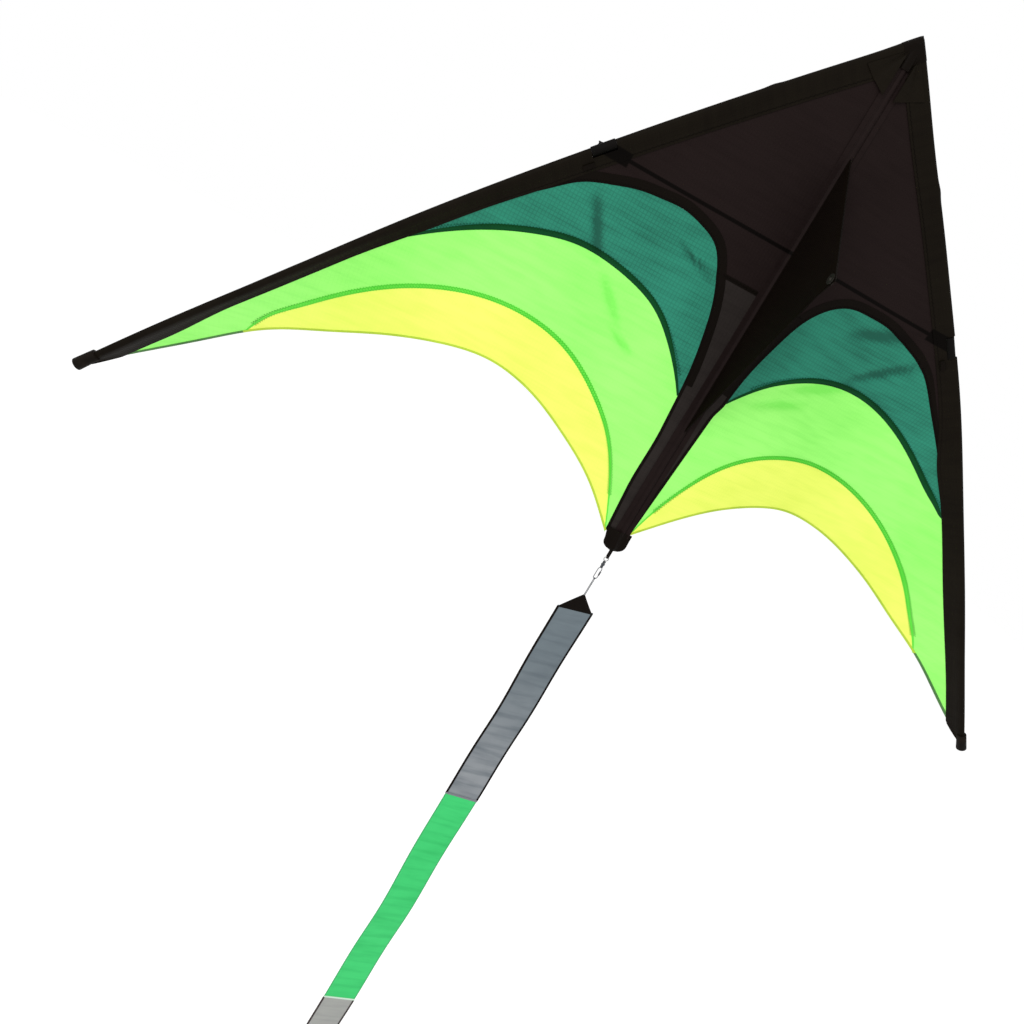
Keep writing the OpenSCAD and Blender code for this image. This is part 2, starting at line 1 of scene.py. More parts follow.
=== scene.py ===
import json
import math

import bpy
from mathutils import Matrix, Vector


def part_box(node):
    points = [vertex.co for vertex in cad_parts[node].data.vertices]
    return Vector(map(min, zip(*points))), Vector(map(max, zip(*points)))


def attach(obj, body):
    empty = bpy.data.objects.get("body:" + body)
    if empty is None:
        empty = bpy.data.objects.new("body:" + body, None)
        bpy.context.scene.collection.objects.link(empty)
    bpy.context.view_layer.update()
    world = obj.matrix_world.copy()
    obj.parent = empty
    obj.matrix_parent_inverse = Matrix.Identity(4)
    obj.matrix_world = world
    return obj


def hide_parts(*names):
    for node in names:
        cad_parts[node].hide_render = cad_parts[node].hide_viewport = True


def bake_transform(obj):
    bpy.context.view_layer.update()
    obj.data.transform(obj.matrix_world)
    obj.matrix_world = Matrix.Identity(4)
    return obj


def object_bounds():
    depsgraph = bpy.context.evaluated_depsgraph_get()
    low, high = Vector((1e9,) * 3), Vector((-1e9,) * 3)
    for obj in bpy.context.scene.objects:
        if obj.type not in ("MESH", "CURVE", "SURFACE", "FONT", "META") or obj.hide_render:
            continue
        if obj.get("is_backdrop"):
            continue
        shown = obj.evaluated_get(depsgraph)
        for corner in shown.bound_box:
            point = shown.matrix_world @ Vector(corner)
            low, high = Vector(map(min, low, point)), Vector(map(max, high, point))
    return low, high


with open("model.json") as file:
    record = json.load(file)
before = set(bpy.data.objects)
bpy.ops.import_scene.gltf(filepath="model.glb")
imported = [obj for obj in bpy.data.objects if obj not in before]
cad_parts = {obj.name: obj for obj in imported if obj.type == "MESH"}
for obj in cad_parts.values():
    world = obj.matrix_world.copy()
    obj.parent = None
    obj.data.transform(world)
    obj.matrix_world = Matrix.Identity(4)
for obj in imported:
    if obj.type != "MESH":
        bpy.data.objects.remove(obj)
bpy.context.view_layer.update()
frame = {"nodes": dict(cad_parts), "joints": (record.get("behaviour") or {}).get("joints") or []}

# ---------------------------------------------------------------- studio
# The kite hangs in a plain white room, seen from the keel side, with the nose towards the upper right.
# A pale floor lies under the tail, and large soft lamps stand on the keel side.
spine_low, spine_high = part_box("spine_spar")
spine_y = (spine_low.y + spine_high.y) / 2
nose_z = spine_high.z + 0.014

camera_data = bpy.data.cameras.new("camera")
camera_data.lens = 30.577
camera = bpy.data.objects.new("camera", camera_data)
camera.location = (-0.4767, -1.0275, -0.0679)
camera.rotation_euler = [math.radians(turn) for turn in (68.639, -27.256, -4.649)]
bpy.context.scene.collection.objects.link(camera)
bpy.context.scene.camera = camera
bpy.context.scene.view_settings.view_transform = "Standard"

world = bpy.data.worlds.new("room")
world.use_nodes = True
bpy.context.scene.world = world
tree = world.node_tree
lit = tree.nodes["Background"]
white = tree.nodes.new("ShaderNodeBackground")
for sky, strength in ((lit, 0.74), (white, 1.0)):
    sky.inputs["Color"].default_value = (1.0, 1.0, 1.0, 1.0)
    sky.inputs["Strength"].default_value = strength
# The room is plain white where it is seen directly, in gloss or through cloth, and dimmer as light
path = tree.nodes.new("ShaderNodeLightPath")
seen = path.outputs["Is Camera Ray"]
for ray in ("Is Glossy Ray", "Is Transmission Ray"):
    either = tree.nodes.new("ShaderNodeMath")
    either.operation = "MAXIMUM"
    tree.links.new(seen, either.inputs[0])
    tree.links.new(path.outputs[ray], either.inputs[1])
    seen = either.outputs[0]
mix = tree.nodes.new("ShaderNodeMixShader")
tree.links.new(seen, mix.inputs[0])
tree.links.new(lit.outputs[0], mix.inputs[1])
tree.links.new(white.outputs[0], mix.inputs[2])
tree.links.new(mix.outputs[0], tree.nodes["World Output"].inputs["Surface"])

for name, place, size, power in (
    ("key lamp", (-1.5, -1.7, 0.9), 1.6, 27.0),
    ("fill lamp", (2.4, -2.0, 0.2), 2.4, 3.0),
    ("back lamp", (0.6, 2.8, 1.2), 2.2, 14.0),
):
    lamp_data = bpy.data.lights.new(name, "AREA")
    lamp_data.size = size
    lamp_data.energy = power
    lamp = bpy.data.objects.new(name, lamp_data)
    lamp.location = place
    lamp.rotation_euler = (Vector(place) - Vector((0, 0.15, -0.1))).to_track_quat("Z", "Y").to_euler()
    bpy.context.scene.collection.objects.link(lamp)

floor_drop = 0.02
bpy.ops.mesh.primitive_plane_add(size=16, location=(0, 2.0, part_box("tail_end_panel")[0].z - floor_drop))
floor = bpy.context.object
floor.name = "floor"
floor_paint = bpy.data.materials.new("pale floor")
floor_paint.use_nodes = True
floor_shader = floor_paint.node_tree.nodes["Principled BSDF"]
floor_shader.inputs["Base Color"].default_value = (0.85, 0.85, 0.85, 1.0)
floor_shader.inputs["Roughness"].default_value = 0.9
floor_shader.inputs["Emission Color"].default_value = (1.0, 1.0, 1.0, 1.0)
floor_shader.inputs["Emission Strength"].default_value = 0.38
floor.data.materials.append(floor_paint)
floor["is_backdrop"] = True


# ---------------------------------------------------------------- rods
# The spine, the two leading edge spars and the cross spreader are pultruded glass fibre rods, dark grey
# with a dull gloss and faint lines along their length. Push-on vinyl caps close their ends.
def srgb(red, green, blue):
    """A colour given as 0 to 255 per channel, as linear light."""
    return tuple(
        (part / 255 / 12.92) if part <= 10 else ((part / 255 + 0.055) / 1.055) ** 2.4
        for part in (red, green, blue)
    )


class Value:
    """One value in a finish. Sums and products of these add the Math nodes."""

    def __init__(self, finish, socket):
        self.finish, self.socket = finish, socket

    def math(self, operation, *others):
        return self.finish.node("Math", {"operation": operation}, dict(enumerate((self, *others))))

    def __add__(self, other):
        return self.math("ADD", other)

    def __sub__(self, other):
        return self.math("SUBTRACT", other)

    def __rsub__(self, other):
        return self.finish.node("Math", {"operation": "SUBTRACT"}, {0: other, 1: self})

    def __mul__(self, other):
        return self.math("MULTIPLY", other)

    def __truediv__(self, other):
        return self.math("DIVIDE", other)

    __radd__, __rmul__ = __add__, __mul__


class Finish:
    """A material on the kite: one Principled shader and the nodes that vary it."""

    def __init__(self, name, **fixed):
        self.material = bpy.data.materials.new(name)
        self.material.use_nodes = True
        self.tree = self.material.node_tree
        self.shader = self.tree.nodes["Principled BSDF"]
        self.feed(self.shader, fixed)

    def feed(self, node, sockets):
        for socket, value in sockets.items():
            if isinstance(value, Value):
                self.tree.links.new(value.socket, node.inputs[socket])
            elif isinstance(value, tuple) and len(value) == 3 and node.inputs[socket].type == "RGBA":
                node.inputs[socket].default_value = (*value, 1.0)
            else:
                node.inputs[socket].default_value = value

    def node(self, kind, settings, sockets, out=0):
        node = self.tree.nodes.new("ShaderNode" + kind)
        for name, setting in settings.items():
            setattr(node, name, setting)
        self.feed(node, sockets)
        return Value(self, node.outputs[out])

    def shade(self, **sockets):
        self.feed(self.shader, {name.replace("_", " "): value for name, value in sockets.items()})

    def mix(self, share, first, second):
        return self.node("Mix", {"data_type": "RGBA"}, {0: share, 6: first, 7: second}, out=2)

    def noise(self, at, scale, detail):
        return self.node("TexNoise", {}, {"Vector": at, "Scale": scale, "Detail": detail}, out="Fac")

    def between(self, value, low, high):
        """0 up to low, 1 from high, smooth between them."""
        return self.node(
            "MapRange", {"interpolation_type": "SMOOTHSTEP"},
            {"Value": value, "From Min": low, "From Max": high, "To Min": 0.0, "To Max": 1.0},
        )

    def bump(self, height, strength, distance):
        return self.node("Bump", {}, {"Height": height, "Strength": strength, "Distance": distance})

    def object_place(self):
        return self.node("TexCoord", {}, {}, out="Object")

    def stretched(self, at, scale):
        return self.node("Mapping", {}, {"Vector": at, "Scale": scale})


def rod_finish(name, lines):
    """Glass fibre rod: lines gives the scale along X, Y and Z, small along the rod."""
    finish = Finish(name)
    fibres = finish.noise(finish.stretched(finish.object_place(), lines), 1.0, 3.0)
    scuffs = finish.noise(finish.object_place(), 160.0, 4.0)
    finish.shade(
        Base_Color=finish.mix(fibres, srgb(12, 12, 13), srgb(44, 44, 47)),
        Roughness=0.3 + 0.25 * scuffs,
        Normal=finish.bump(fibres, 0.25, 0.0002),
    )
    finish.shader.inputs["Coat Weight"].default_value = 0.2
    return finish.material


upright_rod = rod_finish("glass fibre, upright", (900.0, 900.0, 14.0))
cross_rod = rod_finish("glass fibre, across", (14.0, 900.0, 900.0))
for name in ("spine_spar", "left_spar", "right_spar"):
    frame["nodes"][name].data.materials[0] = upright_rod
frame["nodes"]["spreader_rod"].data.materials[0] = cross_rod


def moulded_finish(name, dark, light, roughness):
    """Black vinyl or nylon: a little dust and handling wear over a fine moulded grain."""
    finish = Finish(name)
    place = finish.object_place()
    dust = finish.between(finish.noise(place, 60.0, 4.0), 0.42, 0.72)
    grain = finish.noise(place, 1400.0, 2.0)
    finish.shade(
        Base_Color=finish.mix(dust, dark, light),
        Roughness=roughness + 0.2 * dust - 0.08 * grain,
        Normal=finish.bump(grain, 0.2, 0.0001),
    )
    finish.shader.inputs["Specular IOR Level"].default_value = 0.06
    return finish.material


vinyl = moulded_finish("black vinyl", srgb(8, 6, 5), srgb(15, 12, 10), 0.65)
for name in ("spine_top_cap", "spine_end_cap", "spreader_end_caps", "left_spar_cap", "right_spar_cap"):
    frame["nodes"][name].data.materials[0] = vinyl


# ---------------------------------------------------------------- black panels
# The middle of the sail is black: on each wing one large panel between the nose and the arch, and a
# narrow strip that carries on down the spine. A flat seam, sewn with dark thread, joins the two.

# Each wing is flat cloth sewn between the spine and a bowed leading edge, and the wind twists the
# cloth behind the leading edge backwards. A place on a wing is given by u, out from the spine, and s,
# down from the nose, both in the wing's own plane, and by how far behind that plane it lies.
both_sides = (("left", -1), ("right", 1))
half_span = 0.798
tip_drop = 0.853
bow = 0.020
washout = 1.45
hinge_x = max(joint["pos_m"][0] for joint in frame["joints"] if joint["name"] == "right_wing_fold")
dihedral = math.radians(3)
inner_u = hinge_x + 0.0004
spine_length = 0.764
strip_top, strip_end = 0.034, 0.017
arch_end, trailing_end = 0.502, spine_length - 0.021

chord = math.hypot(half_span, tip_drop)
le_radius = (chord ** 2 / 4 + bow ** 2) / (2 * bow)
half_angle = math.asin(chord / 2 / le_radius)
down_le = Vector((half_span, tip_drop)) / chord
out_le = Vector((tip_drop, -half_span)) / chord
le_centre = Vector((half_span, tip_drop)) / 2 - (le_radius - bow) * out_le


def rim(share, inset=0.0):
    """A place at a share of the leading edge, set in from it."""
    turn = (2 * share - 1) * half_angle
    return le_centre + (le_radius - inset) * (math.cos(turn) * out_le + math.sin(turn) * down_le)


def le_drop(u, inset=0.0):
    return le_centre.y - math.sqrt((le_radius - inset) ** 2 - (u - le_centre.x) ** 2)


def share_at(u, inset):
    reach = (Vector((u, le_drop(u, inset))) - le_centre).dot(down_le)
    return (1 + math.asin(reach / (le_radius - inset)) / half_angle) / 2


def ease(value, low, high):
    """0 up to low, 1 from high, smooth between them."""
    share = min(1.0, max(0.0, (value - low) / (high - low)))
    return share * share * (3 - 2 * share)


def near(value, middle, half_width):
    return math.exp(-((value - middle) / half_width) ** 2)


def sleeve_edge(share, side):
    """The sleeve's sewn edge, which nears the spar towards the tip, a little differently on each wing."""
    width = 0.025 * (1 - 0.36 * share)
    if side < 0:
        width -= 0.0028 * ease(share, 0.40, 0.50) + 0.0038 * ease(share, 0.54, 0.66)
        width += 0.0056 * ease(share, 0.80, 0.90)
    else:
        width += 0.0052 * near(share, 0.51, 0.05) - 0.0041 * ease(share, 0.68, 0.90)
    return rim(share, width)


def swell(side, place):
    """How far the wind draws a place of the cloth out past the spar on one wing, or holds it in."""
    from_centre = place - le_centre
    turn = math.atan2(from_centre.dot(down_le), from_centre.dot(out_le))
    share, inset = (turn / half_angle + 1) / 2, le_radius - from_centre.length
    if side < 0:
        out = -0.0026 * near(share, 0.74, 0.13)
    else:
        out = (
            0.0042 * near(share, 0.42, 0.13) * ease(share, 0.0, 0.2) - 0.0021 * near(share, 0.11, 0.07)
            - 0.0015 * near(share, 0.84, 0.10)
        )
    return out * near(max(inset, 0.0), 0.0, 0.12) * out_le


def sail_back(place):
    return max(0.0, place.y - le_drop(place.x)) * washout * (max(place.x, 0.0) / half_span) ** 2


# Soft folds in the cloth: where each begins and ends, its half width and its depth
folds = {
    -1: [
        ((0.267, 0.335), (0.224, 0.408), 0.0065, 0.0040),
        ((0.209, 0.421), (0.158, 0.470), 0.0050, 0.0032),
        ((0.163, 0.480), (0.123, 0.497), 0.0045, 0.0026),
        ((0.128, 0.345), (0.070, 0.353), 0.0035, 0.0026),
        ((0.140, 0.338), (0.078, 0.358), 0.0030, 0.0018),
    ],
    1: [
        ((0.190, 0.389), (0.275, 0.325), 0.0055, 0.0040),
        ((0.150, 0.330), (0.235, 0.300), 0.0070, 0.0018),
        ((0.110, 0.440), (0.200, 0.400), 0.0080, 0.0016),
        ((0.075, 0.480), (0.150, 0.452), 0.0070, 0.0020),
    ],
}


def fold_at(side, place):
    """How deep a place lies in the folds of that wing, and the same as a share of the deepest, which is
    painted as shade in the cloth's colour.
    """
    depth, share = 0.0, 0.0
    for start, end, half_width, deep in folds[side]:
        start, end = Vector(start), Vector(end)
        run = end - start
        reach = min(1.0, max(0.0, (place - start).dot(run) / run.length_squared))
        height = near((place - start - reach * run).length, 0.0, half_width)
        height *= math.sin(math.pi * (0.1 + 0.8 * reach))
        depth += deep * height
        share = max(share, height)
    return depth, share


def on_wing(side, place, back=0.0):
    """The point of the left (-1) or right (1) wing at a place, so far behind the wing's plane."""
    x = hinge_x + (place.x - hinge_x) * math.cos(dihedral) - back * math.sin(dihedral)
    y = spine_y + (place.x - hinge_x) * math.sin(dihedral) + back * math.cos(dihedral)
    return Vector((side * x, y, nose_z - place.y))


def on_cloth(side, place, back):
    return on_wing(side, place + swell(side, place), back)


def curve(line, share):
    """A point of the cubic curve with two ends and two handles, and of the soft waves that follow them:
    where along the curve each is, its half width and how far it moves the seam downwind."""
    a, b, c, d = line[:4]
    rest = 1 - share
    place = rest ** 3 * a + 3 * rest ** 2 * share * b + 3 * rest * share ** 2 * c + share ** 3 * d
    run = (rest ** 2 * (b - a) + 2 * rest * share * (c - b) + share ** 2 * (d - c)).normalized()
    out = sum(move * near(share, middle, half_width) for middle, half_width, move in line[4:])
    return place + out * Vector((run.y, -run.x))


def strip_edge(drop, side):
    """The outer edge of the black strip beside the spine, a little to the left in its lower half."""
    width = strip_top + (strip_end - strip_top) * (drop - arch_end) / (trailing_end - arch_end)
    if side < 0:
        return Vector((width + 0.0024 + 0.0062 * ease(drop, 0.57, 0.67), drop))
    return Vector((width - 0.0052 * ease(drop, 0.497, 0.525), drop))


def handle(across, down):
    return Vector((across * half_span, down * tip_drop))


# The two wings of a soft kite never set quite alike in the wind, so each has its own curves
tip_start = {-1: 0.960, 1: 0.963}
arch_start = {-1: 0.55, 1: 0.57}
lime_from = {-1: 0.584, 1: 0.592}
yellow_from = {-1: 0.106, 1: 0.089}
teal_arch = {
    -1: (
        sleeve_edge(arch_start[-1], -1), handle(0.396, 0.364), handle(0.071, 0.193), strip_edge(0.504, -1),
        (0.10, 0.08, -0.0025), (0.32, 0.06, -0.0050), (0.52, 0.06, 0.0028), (0.725, 0.06, -0.0058),
        (0.92, 0.06, 0.0020),
    ),
    1: (
        sleeve_edge(arch_start[1], 1), handle(0.264, 0.281), handle(0.070, 0.264), strip_edge(0.492, 1),
        (0.27, 0.07, -0.0068), (0.51, 0.08, 0.0044), (0.86, 0.07, 0.0026),
    ),
}
lime_arch = {
    -1: (
        sleeve_edge(lime_from[-1], -1), handle(0.372, 0.435), handle(0.176, 0.427), strip_edge(0.517, -1),
        (0.42, 0.10, -0.0022), (0.74, 0.10, -0.0030),
    ),
    1: (
        sleeve_edge(lime_from[1], 1), handle(0.529, 0.587), handle(0.262, 0.338), strip_edge(0.496, 1),
        (0.12, 0.08, -0.0022), (0.75, 0.20, -0.0024), (0.92, 0.06, -0.0014),
    ),
}
trailing = {
    -1: (
        sleeve_edge(tip_start[-1], -1), handle(0.362, 0.595), handle(0.253, 0.695), strip_edge(0.750, -1),
        (0.125, 0.06, -0.0105), (0.48, 0.10, -0.0050), (0.62, 0.08, -0.0012), (0.88, 0.12, -0.0072),
    ),
    1: (
        sleeve_edge(tip_start[1], 1), handle(0.363, 0.606), handle(0.186, 0.711), strip_edge(0.736, 1),
        (0.08, 0.06, -0.0075), (0.20, 0.09, -0.0036), (0.36, 0.10, -0.0022), (0.52, 0.10, -0.0048),
    ),
}
yellow_arch = {
    -1: (
        curve(trailing[-1], yellow_from[-1]), handle(0.698, 0.697), handle(0.239, 0.382),
        strip_edge(0.746, -1),
        (0.10, 0.06, -0.0034), (0.20, 0.10, 0.0010), (0.72, 0.08, -0.0015), (0.88, 0.07, -0.0048),
    ),
    1: (
        curve(trailing[1], yellow_from[1]), handle(0.573, 0.595), handle(0.105, 0.476), strip_edge(0.728, 1),
        (0.10, 0.07, 0.0040), (0.20, 0.10, 0.0016), (0.58, 0.08, -0.0012), (0.90, 0.08, 0.0034),
    ),
}
# The seam between the black panels runs level across both wings, from where it meets the right arch
strip_seam_drop = curve(teal_arch[1], 0.757).y
strip_seam_at = {
    side: min(
        (abs(curve(teal_arch[side], share).y - strip_seam_drop), share)
        for share in (0.6 + 0.0005 * i for i in range(700))
    )[1]
    for side in (-1, 1)
}


def steps(start, end, count):
    return [start + (end - start) * i / count for i in range(count + 1)]


def along(ends, start, end, count):
    return [curve(ends, share) for share in steps(start, end, count)]


def joined(*lines):
    """Lines laid end to end, without repeating the point where two of them meet."""
    points = list(lines[0])
    for line in lines[1:]:
        points += line[1:]
    return points


def beside(line, width, least=1.0, taper=1):
    """The line moved sideways, downwind of it where width is positive, and less near its ends."""
    moved = []
    for i, point in enumerate(line):
        run = line[min(i + 1, len(line) - 1)] - line[max(i - 1, 0)]
        share = min(1.0, least + min(i, len(line) - 1 - i) / taper)
        moved.append(point + Vector((run.y, -run.x)).normalized() * width * share)
    return moved


# The sail is ripstop nylon: a plain weave with a thicker thread every few millimetres both ways, which
# shows as a fine grid. The black cloth is dense and dull, and the bright cloths are thin and glow.
def ripstop(name, colour, shadow, grid, gloss, paints_rod_shadow=False):
    """Woven nylon: its colour in the open and its darker colour, which it turns towards in its streaks, its
    grid and the painted shade of its folds, how far the grid shows, its gloss, and whether the spreader and
    its fittings behind it are painted into its colour as a dark painted shadow."""
    finish = Finish(name)
    cut = finish.node("UVMap", {"uv_map": "cut"}, {}, out="UV")
    split = finish.tree.nodes.new("ShaderNodeSeparateXYZ")
    finish.feed(split, {0: cut})
    across, down = Value(finish, split.outputs[0]), Value(finish, split.outputs[1])
    pitch = 0.0052

    def thick_thread(way):
        wave = (way * (2 * math.pi / pitch)).math("COSINE")
        return finish.between(wave, 0.55, 1.0)

    def fine_thread(way):
        return (way * (2 * math.pi / (pitch / 6))).math("COSINE") * 0.5 + 0.5

    threads = thick_thread(across).math("MAXIMUM", thick_thread(down))
    weave = fine_thread(across) * fine_thread(down)
    streaks = finish.noise(finish.stretched(cut, (14.0, 90.0, 1.0)), 1.0, 4.0)
    cloud = finish.noise(cut, 7.0, 3.0)
    # Painted shade: the cloth turns towards its shadow colour in the folds, as far as the fold attribute
    # says.
    fold = finish.node("Attribute", {"attribute_name": "fold"}, {}, out="Fac")
    shade = 0.30 * finish.between(streaks, 0.35, 0.75) + 0.35 * finish.between(cloud, 0.3, 0.75)
    shade = (shade + 1.0 * fold + grid * 4.0 * threads).math("MINIMUM", 1.0)
    colour = finish.mix(shade, colour, shadow)
    # Painted shadow: the spreader rod and the channels of its fittings, which lie behind the cloth, are
    # painted into its colour as dark bands, 1.5 mm above the rod's own height.
    if paints_rod_shadow:
        place = finish.tree.nodes.new("ShaderNodeSeparateXYZ")
        finish.feed(place, {0: finish.object_place()})
        out = Value(finish, place.outputs[0]).math("ABSOLUTE")
        off = Value(finish, place.outputs[2]) - (rod_z + 0.0015)
        rod = 1.0 - finish.between(off.math("ABSOLUTE"), 0.0016, 0.0034)
        reach = finish.between(out, fitting_x - 0.056, fitting_x - 0.053)
        mould = reach * (1.0 - finish.between(off.math("ABSOLUTE"), 0.0078, 0.0100))
        colour = finish.mix(0.95 * rod.math("MAXIMUM", mould), colour, srgb(6, 4, 3))
    finish.shade(
        Base_Color=colour,
        Roughness=0.5 + 0.16 * cloud - 0.08 * threads,
        Normal=finish.bump(threads * 0.7 + weave * 0.3 + streaks * 0.6, 0.35, 0.0004),
    )
    finish.shader.inputs["Specular IOR Level"].default_value = gloss
    return finish.material


# Where the spreader's painted shadow lies on the black cloth: the rod's height and the outer end of the
# fittings.
rod_z = sum(corner.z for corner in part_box("spreader_rod")) / 2
fitting_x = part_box("right_fitting")[1].x
black_cloth = ripstop("black ripstop", srgb(31, 23, 22), srgb(23, 16, 15), 0.03, 0.03, True)
strip_cloth = ripstop("black strip cloth", srgb(43, 38, 36), srgb(30, 26, 24), 0.03, 0.04)


def select_only(piece):
    bpy.ops.object.select_all(action="DESELECT")
    piece.select_set(True)
    bpy.context.view_layer.objects.active = piece


def finish_sheet(piece, thick, material, body):
    """Gives a new sheet of cloth its thickness, finish and body."""
    select_only(piece)
    bpy.ops.object.mode_set(mode="EDIT")
    bpy.ops.mesh.select_all(action="SELECT")
    bpy.ops.mesh.remove_doubles(threshold=0.00002)
    bpy.ops.mesh.normals_make_consistent(inside=False)
    bpy.ops.object.mode_set(mode="OBJECT")
    wall = piece.modifiers.new("cloth", "SOLIDIFY")
    wall.thickness = thick
    wall.offset = 0.0
    bpy.ops.object.modifier_apply(modifier=wall.name)
    bpy.ops.object.shade_smooth_by_angle(angle=math.radians(40))
    piece.data.materials.append(material)
    if body:
        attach(piece, body)
    return piece


def cut_away(piece, points):
    """Deletes the numbered points of a mesh."""
    select_only(piece)
    bpy.ops.object.mode_set(mode="EDIT")
    bpy.ops.mesh.select_mode(type="VERT")
    bpy.ops.mesh.select_all(action="DESELECT")
    bpy.ops.object.mode_set(mode="OBJECT")
    for number in points:
        piece.data.vertices[number].select = True
    bpy.ops.object.mode_set(mode="EDIT")
    bpy.ops.mesh.delete(type="VERT")
    bpy.ops.object.mode_set(mode="OBJECT")


def grid_mesh(name, rows, cut_rows, fold_shade_rows=None):
    """A mesh of quads through rows of points, with the flat cloth's own measures as its UVs."""
    across = len(rows[0])
    points = [point for row in rows for point in row]
    faces = []
    for r in range(len(rows) - 1):
        for c in range(r * across, (r + 1) * across - 1):
            faces.append((c, c + 1, c + across + 1, c + across))
    mesh = bpy.data.meshes.new(name)
    mesh.from_pydata(points, [], faces)
    cut = [place for row in cut_rows for place in row]
    layer = mesh.uv_layers.new(name="cut")
    for loop in mesh.loops:
        layer.data[loop.index].uv = cut[loop.vertex_index][:2]
    # The fold attribute holds the painted shade of the folds, from 0 to 1, which darkens the cloth's colour.
    shares = [share for row in fold_shade_rows for share in row] if fold_shade_rows else [0.0] * len(points)
    mesh.attributes.new("fold", "FLOAT", "POINT").data.foreach_set("value", shares)
    piece = bpy.data.objects.new(name, mesh)
    bpy.context.scene.collection.objects.link(piece)
    return piece


def flat_area(rows):
    """The area of a grid of places on the flat cloth."""
    total = 0.0
    for upper, lower in zip(rows, rows[1:]):
        for a, b, c, d in zip(upper, upper[1:], lower[1:], lower):
            total += abs((c - a).cross(d - b)) / 2
    return total


def wing_of(side):
    return "left_wing" if side < 0 else "right_wing"


def wing_sheet(name, side, first, last, across, material, lift=0.0, thick=0.0005):
    """Cloth on a wing between two lines of as many places, lifted towards the keel side."""
    rows, cut_rows, fold_shade_rows = [], [], []
    for share in steps(0.0, 1.0, across):
        cut_row = [a.lerp(b, share) for a, b in zip(first, last)]
        depths = [fold_at(side, place) for place in cut_row]
        rows.append([
            on_cloth(side, place, sail_back(place) + depth[0] - (lift(share) if callable(lift) else lift))
            for place, depth in zip(cut_row, depths)
        ])
        cut_rows.append(cut_row)
        # How much painted shade each place gets from the folds.
        fold_shade_rows.append([depth[1] for depth in depths])
    piece = grid_mesh(name, rows, cut_rows, fold_shade_rows)
    finish_sheet(piece, thick, material, wing_of(side))
    return piece, flat_area(cut_rows)


def seam_sheet(name, side, first, last, material):
    """A narrow tape or seam of doubled cloth on a wing between two lines."""
    return wing_sheet(name, side, first, last, 2, material, 0.0, seam_thick)[0]


def cut_size(first, last, area):
    """What a panel is cut from: the least rectangle round it, or a strip of its mean width if it is
    long and curved."""
    places, sizes = first + last, []
    for turn in range(0, 180, 3):
        run = Vector((math.cos(math.radians(turn)), math.sin(math.radians(turn))))
        lengths, widths = [place.dot(run) for place in places], [place.cross(run) for place in places]
        sizes.append((max(widths) - min(widths), max(lengths) - min(lengths)))
    size = min(sizes, key=lambda size: size[0] * size[1])
    if area > 0.3 * size[0] * size[1]:
        return {"flat": size, "area": area}
    middle = [a.lerp(b, 0.5) for a, b in zip(first, last)]
    length = sum((b - a).length for a, b in zip(middle, middle[1:]))
    return {"flat": (area / length, length)}


seam_black = ripstop("black seam cloth", srgb(15, 10, 6), srgb(9, 6, 4), 0.02, 0.04)
seam_thick = 0.0016
thread_r = 0.00035
fine = 3


def thread_finish(name, colour):
    finish = Finish(name)
    twist = finish.noise(finish.object_place(), 2600.0, 2.0)
    finish.shade(
        Base_Color=finish.mix(twist, colour, tuple(part * 0.55 for part in colour)),
        Roughness=0.6 + 0.2 * twist,
    )
    finish.shader.inputs["Specular IOR Level"].default_value = 0.04
    return finish.material


dark_thread = thread_finish("black thread", srgb(15, 11, 8))


def swept(name, points, radius, bevel_steps, material, slot, body, kind, **spline_settings):
    """A thread, wire or cord of one thickness along a line of points."""
    data = bpy.data.curves.new(name, "CURVE")
    data.dimensions = "3D"
    spline = data.splines.new(kind)
    spline.points.add(len(points) - 1)
    for point, target in zip(points, spline.points):
        target.co = (*point, 1.0)
    for setting, value in spline_settings.items():
        setattr(spline, setting, value)
    data.bevel_depth = radius
    data.bevel_resolution = bevel_steps
    data.resolution_u = 4
    piece = bpy.data.objects.new(name, data)
    bpy.context.scene.collection.objects.link(piece)
    select_only(piece)
    bpy.ops.object.convert(target="MESH")
    piece = bpy.context.object
    if bevel_steps:
        bpy.ops.object.shade_smooth()
    piece.data.materials.clear()
    piece.data.materials.append(material)
    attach(piece, body)
    return piece


def stitches(name, side, line, width, pitch, lift, material, slot):
    """A row of zigzag stitches along a line on a wing, on its back where lift is negative."""
    lengths = [0.0]
    for a, b in zip(line, line[1:]):
        lengths.append(lengths[-1] + (b - a).length)
    points, at = [], 0
    for i in range(int(lengths[-1] / pitch * 2) + 1):
        reach = i * pitch / 2
        while at < len(line) - 2 and lengths[at + 1] < reach:
            at += 1
        run = line[at + 1] - line[at]
        place = line[at] + run * ((reach - lengths[at]) / run.length)
        place = place + Vector((run.y, -run.x)).normalized() * (width / 2 if i % 2 else -width / 2)
        points.append(on_cloth(side, place, sail_back(place) + fold_at(side, place)[0] - lift))
    return swept(name, points, thread_r, 0, material, slot, wing_of(side), "POLY")


def both_faces(name, side, line, width, pitch, material, slot):
    return [
        stitches(f"{name}_{face}", side, line, width, pitch, lift, material, slot)
        for face, lift in (("front", seam_thick / 2 + 0.00015), ("back", -seam_thick / 2 - 0.00015))
    ]


